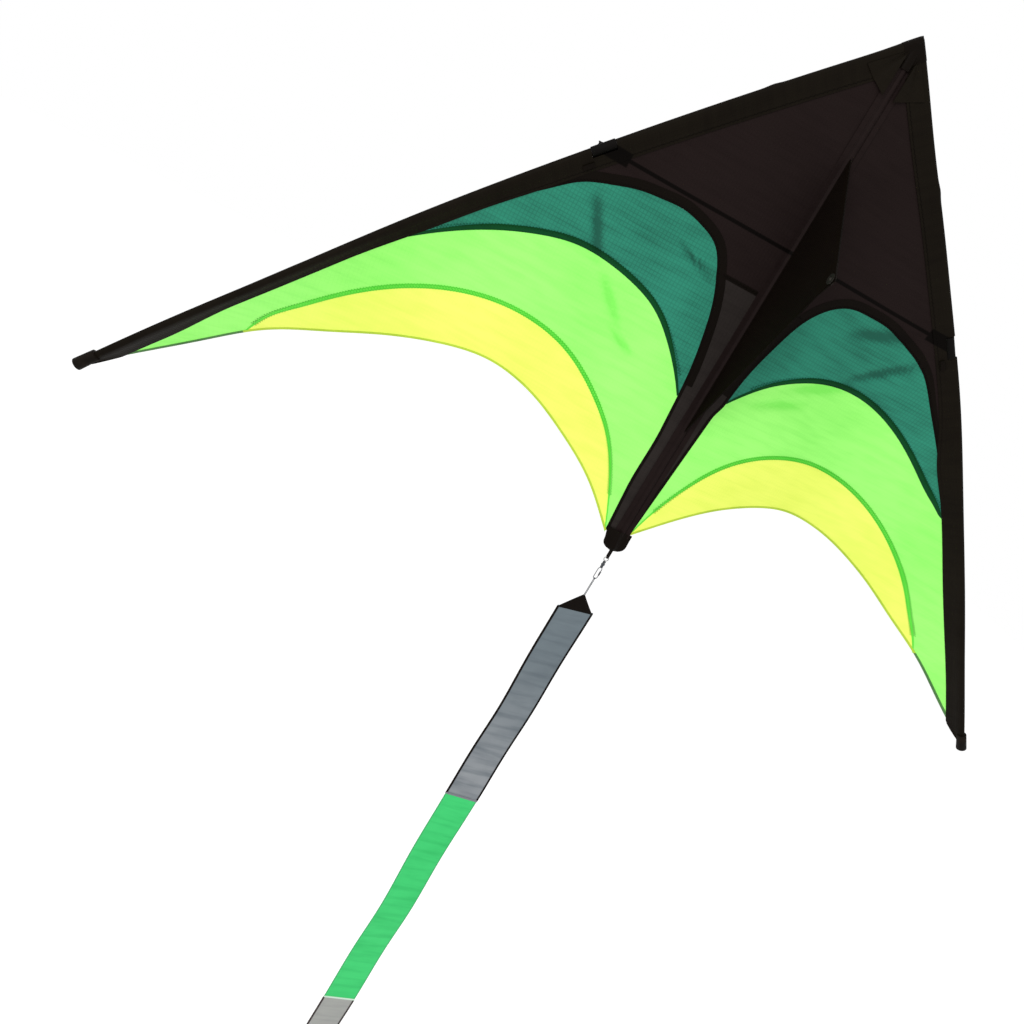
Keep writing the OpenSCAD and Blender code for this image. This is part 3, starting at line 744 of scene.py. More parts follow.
top_share = share_at(inner_u, 0.025)
for side_name, side in both_sides:
    top_edge = joined(
        [sleeve_edge(share, side) for share in steps(arch_start[side], top_share, 12 * fine)],
        [
            Vector((inner_u, drop))
            for drop in steps(sleeve_edge(top_share, side).y, strip_seam_drop, 8 * fine)
        ],
    )
    top_foot = joined(
        along(teal_arch[side], 0.0, 0.5, 12 * fine),
        along(teal_arch[side], 0.5, strip_seam_at[side], 8 * fine),
    )
    top, area = wing_sheet(
        f"{side_name}_top_cloth", side, top_edge, top_foot, 30, black_cloth,
    )
    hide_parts(f"{side_name}_top_panel")
    cut_size(top_edge, top_foot, area)

    strip_line = joined(
        [Vector((inner_u, drop)) for drop in steps(strip_seam_drop, arch_end, 6 * fine)],
        [Vector((inner_u, drop)) for drop in steps(arch_end, trailing_end, 8 * fine)],
    )
    strip_side = joined(
        along(teal_arch[side], strip_seam_at[side], 1.0, 6 * fine),
        [strip_edge(drop, side) for drop in steps(teal_arch[side][3].y, trailing_end, 8 * fine)],
    )
    strip, area = wing_sheet(
        f"{side_name}_strip_cloth", side, strip_line, strip_side, 6, strip_cloth,
    )
    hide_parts(f"{side_name}_strip_panel")
    seam_to = curve(teal_arch[side], strip_seam_at[side]).x - 0.008
    line = [Vector((u, strip_seam_drop)) for u in steps(inner_u, seam_to, 12)]
    seam = seam_sheet(
        f"{side_name}_strip_seam_cloth", side, beside(line, 0.003), beside(line, -0.003), seam_black,
    )
    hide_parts(f"{side_name}_strip_seam")
    rows = both_faces(f"{side_name}_strip_stitches", side, line, 0.002, 0.0042, dark_thread, "black_ripstop")
    arch_foot = teal_arch[side][3].y
    edge_line = [strip_edge(drop, side) for drop in steps(arch_foot - 0.01, trailing_end - 0.002, 40)]
    tape = seam_sheet(
        f"{side_name}_strip_edge_tape", side, edge_line,
        [Vector((point.x - 0.0045, point.y)) for point in edge_line], seam_black,
    )
    cut_size(strip_line, strip_side, area)

# ---------------------------------------------------------------- teal panels
# Below the arch each wing has a teal crescent, whose upper edge is bound with black tape along the
# arch. Its lower edge lies over the lime panel in a dark green seam with zigzag stitches.
teal_cloth = ripstop("teal ripstop", srgb(47, 137, 112), srgb(30, 88, 72), 0.07, 0.08)
seam_green = ripstop("dark green seam cloth", srgb(12, 70, 34), srgb(8, 50, 25), 0.02, 0.05)
green_thread = thread_finish("dark green thread", srgb(10, 70, 34))
binding_width = 0.013
for side_name, side in both_sides:
    upper, lower = along(teal_arch[side], 0, 1, 78), along(lime_arch[side], 0, 1, 78)
    teal, area = wing_sheet(f"{side_name}_teal_cloth", side, upper, lower, 20, teal_cloth)
    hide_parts(f"{side_name}_teal_panel")
    arch = along(teal_arch[side], 0.02, 0.995, 90)
    bound = [
        point + (out - point) * min(1.0, 0.2 + i / 34)
        for i, (point, out) in enumerate(zip(arch, beside(arch, -binding_width)))
    ]
    binding = seam_sheet(f"{side_name}_binding_cloth", side, arch, bound, seam_black)
    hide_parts(f"{side_name}_arch_binding")
    line = along(lime_arch[side], 0.0, 1.0, 90)
    seam = seam_sheet(
        f"{side_name}_teal_seam_cloth", side, beside(line, -0.0065, 0.2, 22), beside(line, 0.0015),
        seam_green,
    )
    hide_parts(f"{side_name}_teal_seam")
    rows = both_faces(
        f"{side_name}_arch_stitches", side, beside(arch, -0.002), 0.003, 0.0042, dark_thread,
        "black_ripstop",
    ) + both_faces(
        f"{side_name}_teal_stitches", side, beside(along(lime_arch[side], 0.05, 0.95, 80), -0.0055),
        0.004, 0.0042, green_thread, "dark_green_ripstop",
    )
    cut_size(upper, lower, area)

# ---------------------------------------------------------------- lime panels
# The lime crescent takes up most of the outer wing. It is sewn to the leading edge sleeve above, and
# out at the tip its narrow foot is hemmed. A bright green seam joins it to the yellow panel.
lime_cloth = ripstop("lime ripstop", srgb(163, 255, 120), srgb(128, 236, 92), 0.02, 0.15)
seam_leaf = ripstop("bright green seam cloth", srgb(104, 226, 70), srgb(80, 208, 54), 0.02, 0.1)
leaf_thread = thread_finish("green thread", srgb(58, 196, 44))
for side_name, side in both_sides:
    upper = joined(
        [sleeve_edge(share, side) for share in
         steps(tip_start[side] - 0.005, lime_from[side] + 0.005, 10 * fine)],
        along(lime_arch[side], 0.02, 1.0, 22 * fine),
        [
            strip_edge(drop, side)
            for drop in steps(lime_arch[side][3].y, yellow_arch[side][3].y - 0.006, 8 * fine)
        ],
    )
    lower = joined(
        along(trailing[side], 0.0, yellow_from[side], 10 * fine),
        along(yellow_arch[side], 0.0, 0.85, 22 * fine), along(yellow_arch[side], 0.85, 1.0, 8 * fine),
    )
    lime, area = wing_sheet(f"{side_name}_lime_cloth", side, upper, lower, 24, lime_cloth)
    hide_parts(f"{side_name}_lime_panel")
    line = along(yellow_arch[side], 0.0, 1.0, 90)
    seam = seam_sheet(
        f"{side_name}_lime_seam_cloth", side, beside(line, -0.003, 0.2, 20), beside(line, 0.003, 0.2, 20),
        seam_leaf,
    )
    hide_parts(f"{side_name}_lime_seam")
    rows = []
    for part, aside in (("lime", -0.002), ("yellow", 0.002)):
        rows += both_faces(
            f"{side_name}_{part}_stitches", side, beside(line[4:-4], aside), 0.003, 0.0042, leaf_thread,
            "leaf_ripstop",
        )
    cut_size(upper, lower, area)

# ---------------------------------------------------------------- yellow panels
# The lowest crescent of each wing is yellow, with a curved trailing edge that is turned over in a
# narrow hem from the spine to the tip.
yellow_cloth = ripstop("yellow ripstop", srgb(244, 255, 112), srgb(216, 240, 84), 0.02, 0.15)
hem_cloths = (
    ripstop("lime hem cloth", srgb(86, 132, 74), srgb(60, 100, 54), 0.02, 0.05),
    ripstop("yellow hem cloth", srgb(190, 214, 70), srgb(146, 180, 52), 0.02, 0.1),
)
for side_name, side in both_sides:
    upper = along(yellow_arch[side], 0, 1, 78)
    lower = along(trailing[side], yellow_from[side] + 0.005, 1, 78)
    yellow, area = wing_sheet(
        f"{side_name}_yellow_cloth", side, upper, lower, 14, yellow_cloth,
    )
    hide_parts(f"{side_name}_yellow_panel")
    for part, start, end, cloth in (
        ("lime", 0.0, yellow_from[side], hem_cloths[0]), ("yellow", yellow_from[side], 0.995, hem_cloths[1]),
    ):
        line = along(trailing[side], start, end, 110)
        seam_sheet(
            f"{side_name}_{part}_hem_cloth", side, beside(line, -0.0032), line, cloth,
        )
    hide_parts(f"{side_name}_trailing_hem")
    cut_size(upper, lower, area)

# ---------------------------------------------------------------- leading edge sleeves
# A strip of doubled black cloth is folded round each leading edge spar and sewn down on the sail. It
# is cut away at the spreader fitting, and a triangle of cloth is sewn over it at the nose.
sleeve_r = 0.00485
fitting_at = 0.346
window = 0.033
spar_start, spar_end = 0.156, 0.993
sleeve_from = share_at(inner_u, sleeve_r + 0.0003)
sleeve_to = spar_end - 0.0083 / chord
# The sleeve cloth also has the spreader's painted shadow in its colour.
sleeve_cloth = ripstop("sleeve cloth", srgb(23, 19, 13), srgb(14, 10, 7), 0.03, 0.03, True)
round_steps = 6
flap_steps = 4


def sleeve_rows(side, shares, grow=0.0, least_u=inner_u):
    """Sections through the folded sleeve, from its front edge round the spar to its back edge."""
    rows, cut_rows = [], []
    for share in shares:
        edge = sleeve_edge(share, side)
        reach = (edge - rim(share)).length
        fall = sail_back(edge)
        if share > tip_start[side]:
            loose = ((share - tip_start[side]) / (sleeve_to - tip_start[side])) ** 1.25
            reach, fall = reach * (1 - 0.55 * loose), fall * (1 - 0.93 * loose)
        slant, length = math.atan2(fall, reach), math.hypot(reach, fall) + 0.0015
        bulge = 1 + 0.22 * near((share - spar_start) * chord, 0.0, 0.009)
        radius = sleeve_r * bulge + grow + (0.0020 * near(share * chord, 0.0, 0.035) if side < 0 else 0.0)
        flap = [
            (length, 0.0012 + grow), (length * 0.75, 0.0014 + grow), (length * 0.5, 0.0022 + grow),
            (max(length * 0.3, radius * 0.9), 0.0036 + grow),
        ]
        bend = [
            (-radius * math.sin(turn), radius * math.cos(turn))
            for turn in steps(math.radians(5), math.radians(175), round_steps)
        ]
        row, cut_row, run = [], [], 0.0
        front_half = [(inset, -back) for inset, back in flap + bend]
        for inset, back in front_half + flap[::-1]:
            place = rim(share, inset * math.cos(slant) - back * math.sin(slant))
            place.x = max(place.x, least_u)
            row.append(on_cloth(side, place, inset * math.sin(slant) + back * math.cos(slant)))
            run += (row[-1] - row[-2]).length if len(row) > 1 else 0.0
            cut_row.append((run, share * chord))
        rows.append(row)
        cut_rows.append(cut_row)
    return rows, cut_rows


for side_name, side in both_sides:
    edge = window / 2 / chord
    shares = (
        steps(sleeve_from, fitting_at - edge - 0.0001, 70)
        + steps(fitting_at - edge + 0.0001, fitting_at + edge - 0.0001, 6)
        + steps(fitting_at + edge + 0.0001, sleeve_to, 100)
    )
    rows, cut_rows = sleeve_rows(side, shares)
    sleeve = grid_mesh(f"{side_name}_sleeve_cloth", rows, cut_rows)
    across = len(rows[0])
    cut_away(sleeve, [
        r * across + c
        for r, share in enumerate(shares) if abs(share - fitting_at) < edge
        for c in range(flap_steps, across - flap_steps)
    ])
    finish_sheet(sleeve, 0.0005, sleeve_cloth, f"{side_name}_wing")
    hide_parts(f"{side_name}_sleeve")

    nose_line = [rim(share, 0.0045) for share in steps(sleeve_from, 0.068 / chord, 16)]
    inner_line = [Vector((inner_u, drop)) for drop in steps(nose_line[0].y + 0.001, 0.070, 16)]
    patch, _ = wing_sheet(
        f"{side_name}_nose_patch_cloth", side, nose_line, inner_line, 12, sleeve_cloth,
        lambda share: 0.0026 + 0.0031 * max(1 - 3 * share, 0.6 * (2 * share - 1), 0) ** 0.5,
    )
    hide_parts(f"{side_name}_nose_patch")

    tab_from = fitting_at + edge
    tab_line = [rim(share, 0.013) for share in steps(tab_from, tab_from + 0.016 / chord, 6)]
    tab, _ = wing_sheet(
        f"{side_name}_stay_tab_cloth", side, tab_line, beside(tab_line, -0.006), 2, seam_black,
        0.0042, 0.0012,
    )
    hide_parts(f"{side_name}_stay_tab")

    sewn = [
        rim(share, (sleeve_edge(share, side) - rim(share)).length - 0.002)
        for share in steps(top_share, tip_start[side], 160)
    ]
    seams = [
        stitches(
            f"{side_name}_sleeve_stitches_{face}", side, sewn, 0.0012, 0.006, lift, dark_thread,
            "black_ripstop",
        )
        for face, lift in (("front", 0.0017), ("back", -0.0017))
    ]

# ---------------------------------------------------------------- spine sleeve
# The two wings meet in a sleeve of black cloth that is sewn round the spine rod. Soft strips of the
# same cloth cover the hinges where the wings fold, and a pointed fold of doubled cloth closes the nose.
spine_tube_r = 0.00365


def plain_sheet(name, rows, material, thick, cut_rows=None):
    """Black cloth that isn't on a wing: its UVs are its lengths along and across, unless given."""
    if cut_rows is None:
        cut_rows, down = [], 0.0
        for r, row in enumerate(rows):
            down += (row[0] - rows[r - 1][0]).length if r else 0.0
            run, cut_row = 0.0, []
            for c, point in enumerate(row):
                run += (point - row[c - 1]).length if c else 0.0
                cut_row.append((run, down))
            cut_rows.append(cut_row)
    return finish_sheet(grid_mesh(name, rows, cut_rows), thick, material, None)


def spine_row(drop):
    z = nose_z - drop
    half = [(-0.0074, 0.0003), (-0.0058, 0.0004), (-0.0044, 0.0008)]
    half += [
        (-spine_tube_r * math.cos(turn), spine_tube_r * math.sin(turn))
        for turn in steps(0.35, math.pi - 0.35, 8)
    ]
    half += [(-x, y) for x, y in reversed(half[:3])]
    front = [Vector((x, spine_y - y, z)) for x, y in half]
    back = [Vector((x, spine_y + y, z)) for x, y in reversed(half)]
    return front + back + [front[0].copy()]


drops = steps(0.028, trailing_end, 120)
tube = plain_sheet("spine_sleeve_cloth", [spine_row(drop) for drop in drops], black_cloth, 0.0005)
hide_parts("spine_sleeve")
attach(tube, "centre")

nose_rows = []
for drop in steps(-0.0082, 0.034, 26):
    half, deep = min(0.0074, (drop + 0.0085) * 0.95), min(0.0056, 0.0006 + (drop + 0.0082) * 0.8)
    middle = -0.0012 * (1 - ease(drop, -0.0082, 0.030))
    ring = [
        Vector((middle + half * math.cos(turn), spine_y - deep * math.sin(turn), nose_z - drop))
        for turn in steps(0, 2 * math.pi, 24)[:-1]
    ]
    nose_rows.append([*ring, ring[0].copy()])
cover = plain_sheet("nose_cover_cloth", nose_rows, seam_black, 0.0006)
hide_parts("nose_cover")
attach(cover, "centre")

for side_name, side in both_sides:
    for face, lift in (("front", -0.0011), ("back", 0.0011)):
        rows = [
            [Vector((side * x, spine_y + lift, nose_z - drop)) for x in steps(0.0052, 0.0125, 6)]
            for drop in steps(0.030, trailing_end - 0.001, 110)
        ]
        strip = plain_sheet(f"{side_name}_hinge_strip_{face}", rows, black_cloth, 0.0006)
        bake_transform(strip)
    shares = steps(share_at(-0.002, 0.0), share_at(0.016, 0.0), 12)
    rows, cut_rows = sleeve_rows(side, shares, 0.0004, 0.0)
    collar = plain_sheet(f"{side_name}_nose_collar", rows, seam_black, 0.0006, cut_rows)
    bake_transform(collar)

# ---------------------------------------------------------------- tail pocket and loop
# The foot of the spine sits in a rounded pocket of doubled cloth with a stitched edge, and a loop of
# narrow webbing is sewn into it to hold the tail's swivel.
def pocket_row(height, front):
    """Across the pocket at a height above its foot; it bulges over the capped rod."""
    half = 0.0188 + 0.0016 * ease(height, 0.012, 0.030)
    if height < 0.015:
        half *= max(0.0, 1 - (1 - height / 0.015) ** 2.6) ** 0.5
    row = []
    for share in steps(-1, 1, 16):
        x = share * half
        bulge = 0.0048 * near(x, 0.0, 0.0052) * min(1.0, height / 0.004)
        rim_in = 0.0009 * (1 - share ** 6)
        row.append(Vector((
            x - 0.0012 - 0.0022 * ease(height, 0.012, 0.030),
            spine_y - front * (0.0003 + rim_in + bulge),
            nose_z - spine_length - 0.005 + height,
        )))
    return row


pocket_top = spine_length + 0.0125 - trailing_end
pocket_rows = [pocket_row(height, 1) for height in steps(pocket_top, 0.0002, 18)]
pocket_rows += [pocket_row(height, -1) for height in steps(0.0002, pocket_top, 18)]
pocket = plain_sheet("tail_pocket_cloth", pocket_rows, seam_black, 0.0006)
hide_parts("tail_pocket")
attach(pocket, "centre")

loop_eye_z = nose_z - spine_length - 0.016
loop_r = 0.0034
path = [Vector((0, loop_r, drop)) for drop in steps(0.0120, 0.0, 5)]
path += [
    Vector((0, loop_r * math.cos(turn), -loop_r * math.sin(turn)))
    for turn in steps(0, math.pi, 12)[1:-1]
]
path += [Vector((0, -loop_r, drop)) for drop in steps(0.0, 0.0120, 5)]
loop_rows = [
    [Vector((x, spine_y + point.y, loop_eye_z + point.z)) for x in steps(-0.0013, 0.0013, 3)]
    for point in path
]
loop = plain_sheet("tail_loop_webbing", loop_rows, seam_black, 0.0013)
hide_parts("tail_loop")
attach(loop, "centre")

# ---------------------------------------------------------------- keel
# The keel is a triangle of doubled black cloth sewn to the spine. Its two free edges are hemmed, and at
# the point a round patch on each side carries the eyelet that the flying line is tied to.
keel_front, keel_point, keel_back_point, keel_rear = (
    Vector((0.00445, -0.149)), Vector((0.160, -0.294)), Vector((0.1396, -0.318)), Vector((0.00445, -0.559)),
)
eyelet_place = Vector((0.148, -0.294))
keel_cloth = ripstop("keel cloth", srgb(15, 10, 7), srgb(9, 6, 4), 0.03, 0.04)


def on_keel(place, aside=0.0):
    """A point of the keel, from its distance in front of the spine and height below the nose."""
    return Vector((aside, spine_y - place.x, nose_z + place.y))


def run_of(corners, counts):
    return joined(*[
        [a.lerp(b, share) for share in steps(0, 1, count)]
        for a, b, count in zip(corners, corners[1:], counts)
    ])


outer = run_of((keel_front, keel_point, keel_back_point, keel_rear), (60, 10, 60))
root = run_of((keel_front, keel_rear), (130,))
cut_rows = [[a.lerp(b, share) for a, b in zip(root, outer)] for share in steps(0, 1, 70)]
fin = grid_mesh("keel_cloth", [[on_keel(place) for place in row] for row in cut_rows], cut_rows)
cut_away(fin, [
    corner.index for corner in fin.data.vertices if (corner.co - on_keel(eyelet_place)).length < 0.0056
])
finish_sheet(fin, 0.0006, keel_cloth, "keel")
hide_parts("keel_fin")

for name, a, b, from_start, from_end in (
    ("keel_front_hem", keel_front, keel_point, 0.004, 0.030),
    ("keel_rear_hem", keel_rear, keel_back_point, 0.004, 0.016),
):
    run = (b - a).normalized()
    line = [a + run * reach for reach in steps(from_start, (b - a).length - from_end, 60)]
    inward = Vector((run.y, -run.x)) * (0.008 if name == "keel_front_hem" else -0.008)
    rows = [[on_keel(place + inward * share) for place in line] for share in steps(0, 1, 3)]
    hem = plain_sheet(f"{name}_cloth", rows, seam_black, 0.0017)
    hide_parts(name)
    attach(hem, "keel")


def reach_to_edge(direction):
    """How far the keel reaches from the eyelet in a direction, up to the round patch's radius."""
    reach = 0.026
    for a, b in ((keel_front, keel_point), (keel_point, keel_back_point), (keel_back_point, keel_rear)):
        run = b - a
        across = direction.cross(run)
        if abs(across) > 1e-9:
            out = (a - eyelet_place).cross(run) / across
            if out > 0:
                reach = min(reach, out - 0.0001)
    return reach


patch_bore = 0.0043
for name, aside in (("tow_patch_right", 0.0007), ("tow_patch_left", -0.0007)):
    rows = []
    for share in steps(0, 1, 8):
        row = []
        for turn in steps(0, 2 * math.pi, 48):
            direction = Vector((math.cos(turn), math.sin(turn)))
            reach = patch_bore + share * (reach_to_edge(direction) - patch_bore)
            row.append(on_keel(eyelet_place + direction * reach, aside))
        rows.append(row)
    patch = plain_sheet(f"{name}_cloth", rows, seam_black, 0.0008)
    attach(patch, "keel")
    if aside > 0:
        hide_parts("tow_patch")

rows = [
    [Vector((0, spine_y - depth, nose_z - drop)) for depth in steps(0.0032, 0.0085, 5)]
    for drop in steps(0.151, 0.556, 80)
]
root_strip = plain_sheet("keel_root_strip", rows, keel_cloth, 0.0013)
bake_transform(root_strip)


def plated_finish(name, light, dark, roughness):
    finish = Finish(name, Metallic=1.0)
    wear = finish.noise(finish.object_place(), 700.0, 4.0)
    finish.shade(
        Base_Color=finish.mix(wear, light, dark), Roughness=roughness + 0.2 * wear,
        Normal=finish.bump(wear, 0.15, 0.0001),
    )
    return finish.material


plated = plated_finish("plated steel", srgb(190, 190, 188), srgb(120, 118, 114), 0.25)
frame["nodes"]["tow_eyelet"].data.materials[0] = plated_finish(
    "blackened brass", srgb(84, 80, 74), srgb(38, 36, 33), 0.4,
)

# ---------------------------------------------------------------- tip caps
# Each leading edge spar ends in a stiff moulded cap under folded black webbing, a little wider than the
# sleeve that runs up to it.
webbing = moulded_finish("black webbing", srgb(16, 12, 8), srgb(28, 22, 17), 0.6)


def new_shape(name):
    """An empty mesh object, left in edit mode so that solids can be added to it."""
    bpy.ops.object.select_all(action="DESELECT")
    bpy.ops.mesh.primitive_cube_add(location=(0, 0, 0))
    shape = bpy.context.object
    shape.name = name
    bpy.ops.object.mode_set(mode="EDIT")
    bpy.ops.mesh.select_mode(type="FACE")
    bpy.ops.mesh.select_all(action="SELECT")
    bpy.ops.mesh.delete(type="VERT")
    return shape


def add_tube(start, end, radius, end_radius=None, sides=32):
    """A round solid between two points, added to the mesh in edit mode and left selected."""
    bpy.ops.mesh.select_all(action="DESELECT")
    run = end - start
    bpy.ops.mesh.primitive_cone_add(
        vertices=sides, radius1=radius, radius2=radius if end_radius is None else end_radius,
        depth=run.length, location=(start + end) / 2, rotation=run.to_track_quat("Z", "Y").to_euler(),
    )


def tube_shape(name, start, end, radius, end_radius=None, sides=32):
    shape = new_shape(name)
    add_tube(start, end, radius, end_radius, sides)
    bpy.ops.object.mode_set(mode="OBJECT")
    return shape


def combine(shape, cutter, operation):
    """Takes one solid out of another, or joins it on."""
    cut = shape.modifiers.new("cut", "BOOLEAN")
    cut.operation = operation
    cut.object = cutter
    cut.solver = "EXACT"
    select_only(shape)
    bpy.ops.object.modifier_apply(modifier=cut.name)
    bpy.data.objects.remove(cutter)


def finish_shape(shape, material, body, bevel, segments):
    select_only(shape)
    edge = shape.modifiers.new("edge", "BEVEL")
    edge.width = bevel
    edge.segments = segments
    edge.limit_method = "ANGLE"
    edge.angle_limit = math.radians(40)
    bpy.ops.object.modifier_apply(modifier=edge.name)
    bpy.ops.object.shade_smooth_by_angle(angle=math.radians(35))
    shape.data.materials.append(material)
    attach(shape, body)
    return shape


def spar_point(side, share, beyond):
    """A point so far beyond a place of the spar's axis, in the spar's own line."""
    here, before = on_wing(side, rim(share)), on_wing(side, rim(share - 0.002))
    return here + (here - before).normalized() * beyond


for side_name, side in both_sides:
    mouth, foot = spar_point(side, spar_end, -0.022), spar_point(side, spar_end, 0.011)
    cap = tube_shape(f"{side_name}_tip_cap_webbing", mouth, foot, 0.0080, 0.0088)
    finish_shape(cap, webbing, f"{side_name}_wing", 0.0012, 3)
    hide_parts(f"{side_name}_tip_cap")

# ---------------------------------------------------------------- spreader fittings
# A black moulded T holds each end of the cross spreader: a collar on the leading edge spar, a short neck,
# and a channel behind the sail that the rod snaps into from the back.
spreader_back = 0.028
rod_r = 0.00275
neck_width = 0.010
groove_depth = 0.020
for side_name, side in both_sides:
    centre = on_wing(side, rim(fitting_at))
    channel_end = Vector((centre.x + side * 0.007, spine_y + spreader_back, centre.z))
    channel_start = channel_end - Vector((side * 0.058, 0, 0))
    run = (spar_point(side, fitting_at, 0.016) - spar_point(side, fitting_at, -0.016)).normalized()
    fitting = tube_shape(f"{side_name}_fitting_mould", centre - run * 0.016, centre + run * 0.016, 0.00615)
    neck = new_shape("neck")
    neck_middle = (centre + Vector((centre.x, channel_end.y, centre.z))) / 2
    bpy.ops.mesh.primitive_cube_add(size=neck_width, location=neck_middle)
    bpy.ops.transform.resize(
        value=(1, (channel_end.y - centre.y) / neck_width, 1), center_override=neck_middle,
    )
    bpy.ops.object.mode_set(mode="OBJECT")
    channel = tube_shape("channel", channel_start, channel_end, 0.00565)
    for other in (neck, channel):
        combine(fitting, other, "UNION")
    for low, high, radius in (
        (-0.060, 0.010, rod_r + 0.0003), (-0.014, 0.010, rod_r + 0.0015),
    ):
        slot_start = channel_end + Vector((side * low, 0, 0))
        slot_end = channel_end + Vector((side * high, 0, 0))
        combine(fitting, tube_shape("bore", slot_start, slot_end, radius), "DIFFERENCE")
        middle = (slot_start + slot_end) / 2 + Vector((0, 0.010, 0))
        groove = new_shape("groove")
        bpy.ops.mesh.primitive_cube_add(size=groove_depth, location=middle)
        bpy.ops.transform.resize(
            value=(abs(high - low) / groove_depth, 1, 2 * radius / groove_depth), center_override=middle,
        )
        bpy.ops.object.mode_set(mode="OBJECT")
        combine(fitting, groove, "DIFFERENCE")
    bore = tube_shape("bore", centre - run * 0.018, centre + run * 0.018, rod_r + 0.0001)
    combine(fitting, bore, "DIFFERENCE")
    finish_shape(fitting, vinyl, f"{side_name}_wing", 0.0004, 2)
    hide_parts(f"{side_name}_fitting")

# ---------------------------------------------------------------- swivel, clip and line
# A wire ring hangs in the webbing loop and turns in a small barrel swivel. A wire snap clip below it
# holds the loop of thin braided cord that is sewn into the tail's head.
frame["nodes"]["swivel_ring"].data.materials[0] = plated
dark_plated = plated_finish("darkened steel", srgb(96, 98, 102), srgb(40, 42, 46), 0.35)
swing_z = loop_eye_z - 0.0026 + 0.0010
barrel_z = swing_z - 2 * 0.0036 - 0.0011
tail_turn = math.radians(12)
face_of_tail = Matrix.Rotation(tail_turn, 3, "Z")


def on_tail(x, y, z):
    """A point of the tail, which is turned on its swivel; x is across the ribbon and y behind it."""
    return Vector((0, spine_y, 0)) + face_of_tail @ Vector((x, y, z))


barrel = new_shape("swivel_barrel_body")
bottom = barrel_z - 0.011
add_tube(Vector((0, spine_y, barrel_z)), Vector((0, spine_y, bottom)), 0.0021)
add_tube(Vector((0, spine_y, barrel_z - 0.0004)), Vector((0, spine_y, barrel_z - 0.0020)), 0.0024)
add_tube(Vector((0, spine_y, bottom + 0.0020)), Vector((0, spine_y, bottom + 0.0004)), 0.0024)
bpy.ops.mesh.select_all(action="DESELECT")
bpy.ops.mesh.primitive_uv_sphere_add(
    segments=32, ring_count=16, radius=0.0030, location=(0, spine_y, (barrel_z + bottom) / 2),
)
bpy.ops.object.mode_set(mode="OBJECT")
finish_shape(barrel, dark_plated, "tail_upper", 0.0002, 2)
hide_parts("swivel_barrel")


def bent_wire(name, points, radius, material, slot, body, closed=True):
    """Wire or cord along a smooth line of points."""
    return swept(
        name, points, radius, 3, material, slot, body, "NURBS",
        use_cyclic_u=closed, use_endpoint_u=not closed, order_u=3,
    )


clip_low, clip_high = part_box("snap_clip")
top_z, low_z = clip_high.z, clip_low.z
clip_half = 0.0034


def clip_bend(middle_z, start, end):
    return [
        (clip_half * math.sin(turn), middle_z + clip_half * math.cos(turn))
        for turn in steps(start, end, 7)
    ]


outline = clip_bend(top_z - 0.004, -1.4, 1.4)
outline += [(clip_half, z) for z in steps(top_z - 0.006, low_z + 0.006, 5)]
outline += clip_bend(low_z + 0.004, 1.74, 4.54)
outline += [(-clip_half, z) for z in steps(low_z + 0.006, top_z - 0.006, 5)]
clip = bent_wire(
    "snap_clip_wire", [on_tail(x, 0, z) for x, z in outline], 0.0006, dark_plated, "plated_steel",
    "tail_upper",
)
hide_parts("snap_clip")
clasp_ends = [on_tail(clip_half, 0, top_z - drop) for drop in (0.0075, 0.0145)]
clasp = tube_shape("snap_clip_clasp", *clasp_ends, 0.00125, sides=20)
finish_shape(clasp, dark_plated, "tail_upper", 0.0002, 2)

cord_finish = Finish("grey braided cord")
plait = cord_finish.node(
    "TexWave", {"wave_type": "BANDS", "bands_direction": "DIAGONAL"},
    {"Vector": cord_finish.object_place(), "Scale": 420.0, "Distortion": 1.5}, out="Fac",
)
cord_finish.shade(
    Base_Color=cord_finish.mix(plait, srgb(118, 120, 124), srgb(70, 72, 78)),
    Roughness=0.6 + 0.2 * plait, Normal=cord_finish.bump(plait, 0.5, 0.0002),
)
line_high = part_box("tail_line")[1]
head_top_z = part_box("tail_head")[1].z
line_points = [on_tail(-0.0009, 0, z) for z in steps(head_top_z - 0.006, line_high.z - 0.0035, 10)]
line_points += [
    on_tail(-0.0010 * math.cos(turn), 0, line_high.z - 0.0022 + 0.0016 * math.sin(turn))
    for turn in steps(0.2, math.pi - 0.2, 6)
]
line_points += [on_tail(0.0009, 0, z) for z in steps(line_high.z - 0.0035, head_top_z - 0.006, 10)]
tail_cord = bent_wire(
    "tail_line_cord", line_points, 0.0006, cord_finish.material, "grey_line", "tail_upper", closed=False,
)
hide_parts("tail_line")

# ---------------------------------------------------------------- tail
# The tail is a flat ribbon of three lengths, grey, green and grey again. It hangs from a triangular
# head of black cloth, and its grey lengths are edged with black tape.
ribbon_half = 0.032
grey_length, green_length, end_length = 0.410, 0.530, 0.430
ribbon_top_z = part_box("tail_grey_panel")[1].z
green_top_z = ribbon_top_z - grey_length
end_top_z = green_top_z - green_length
foot_z = end_top_z - end_length


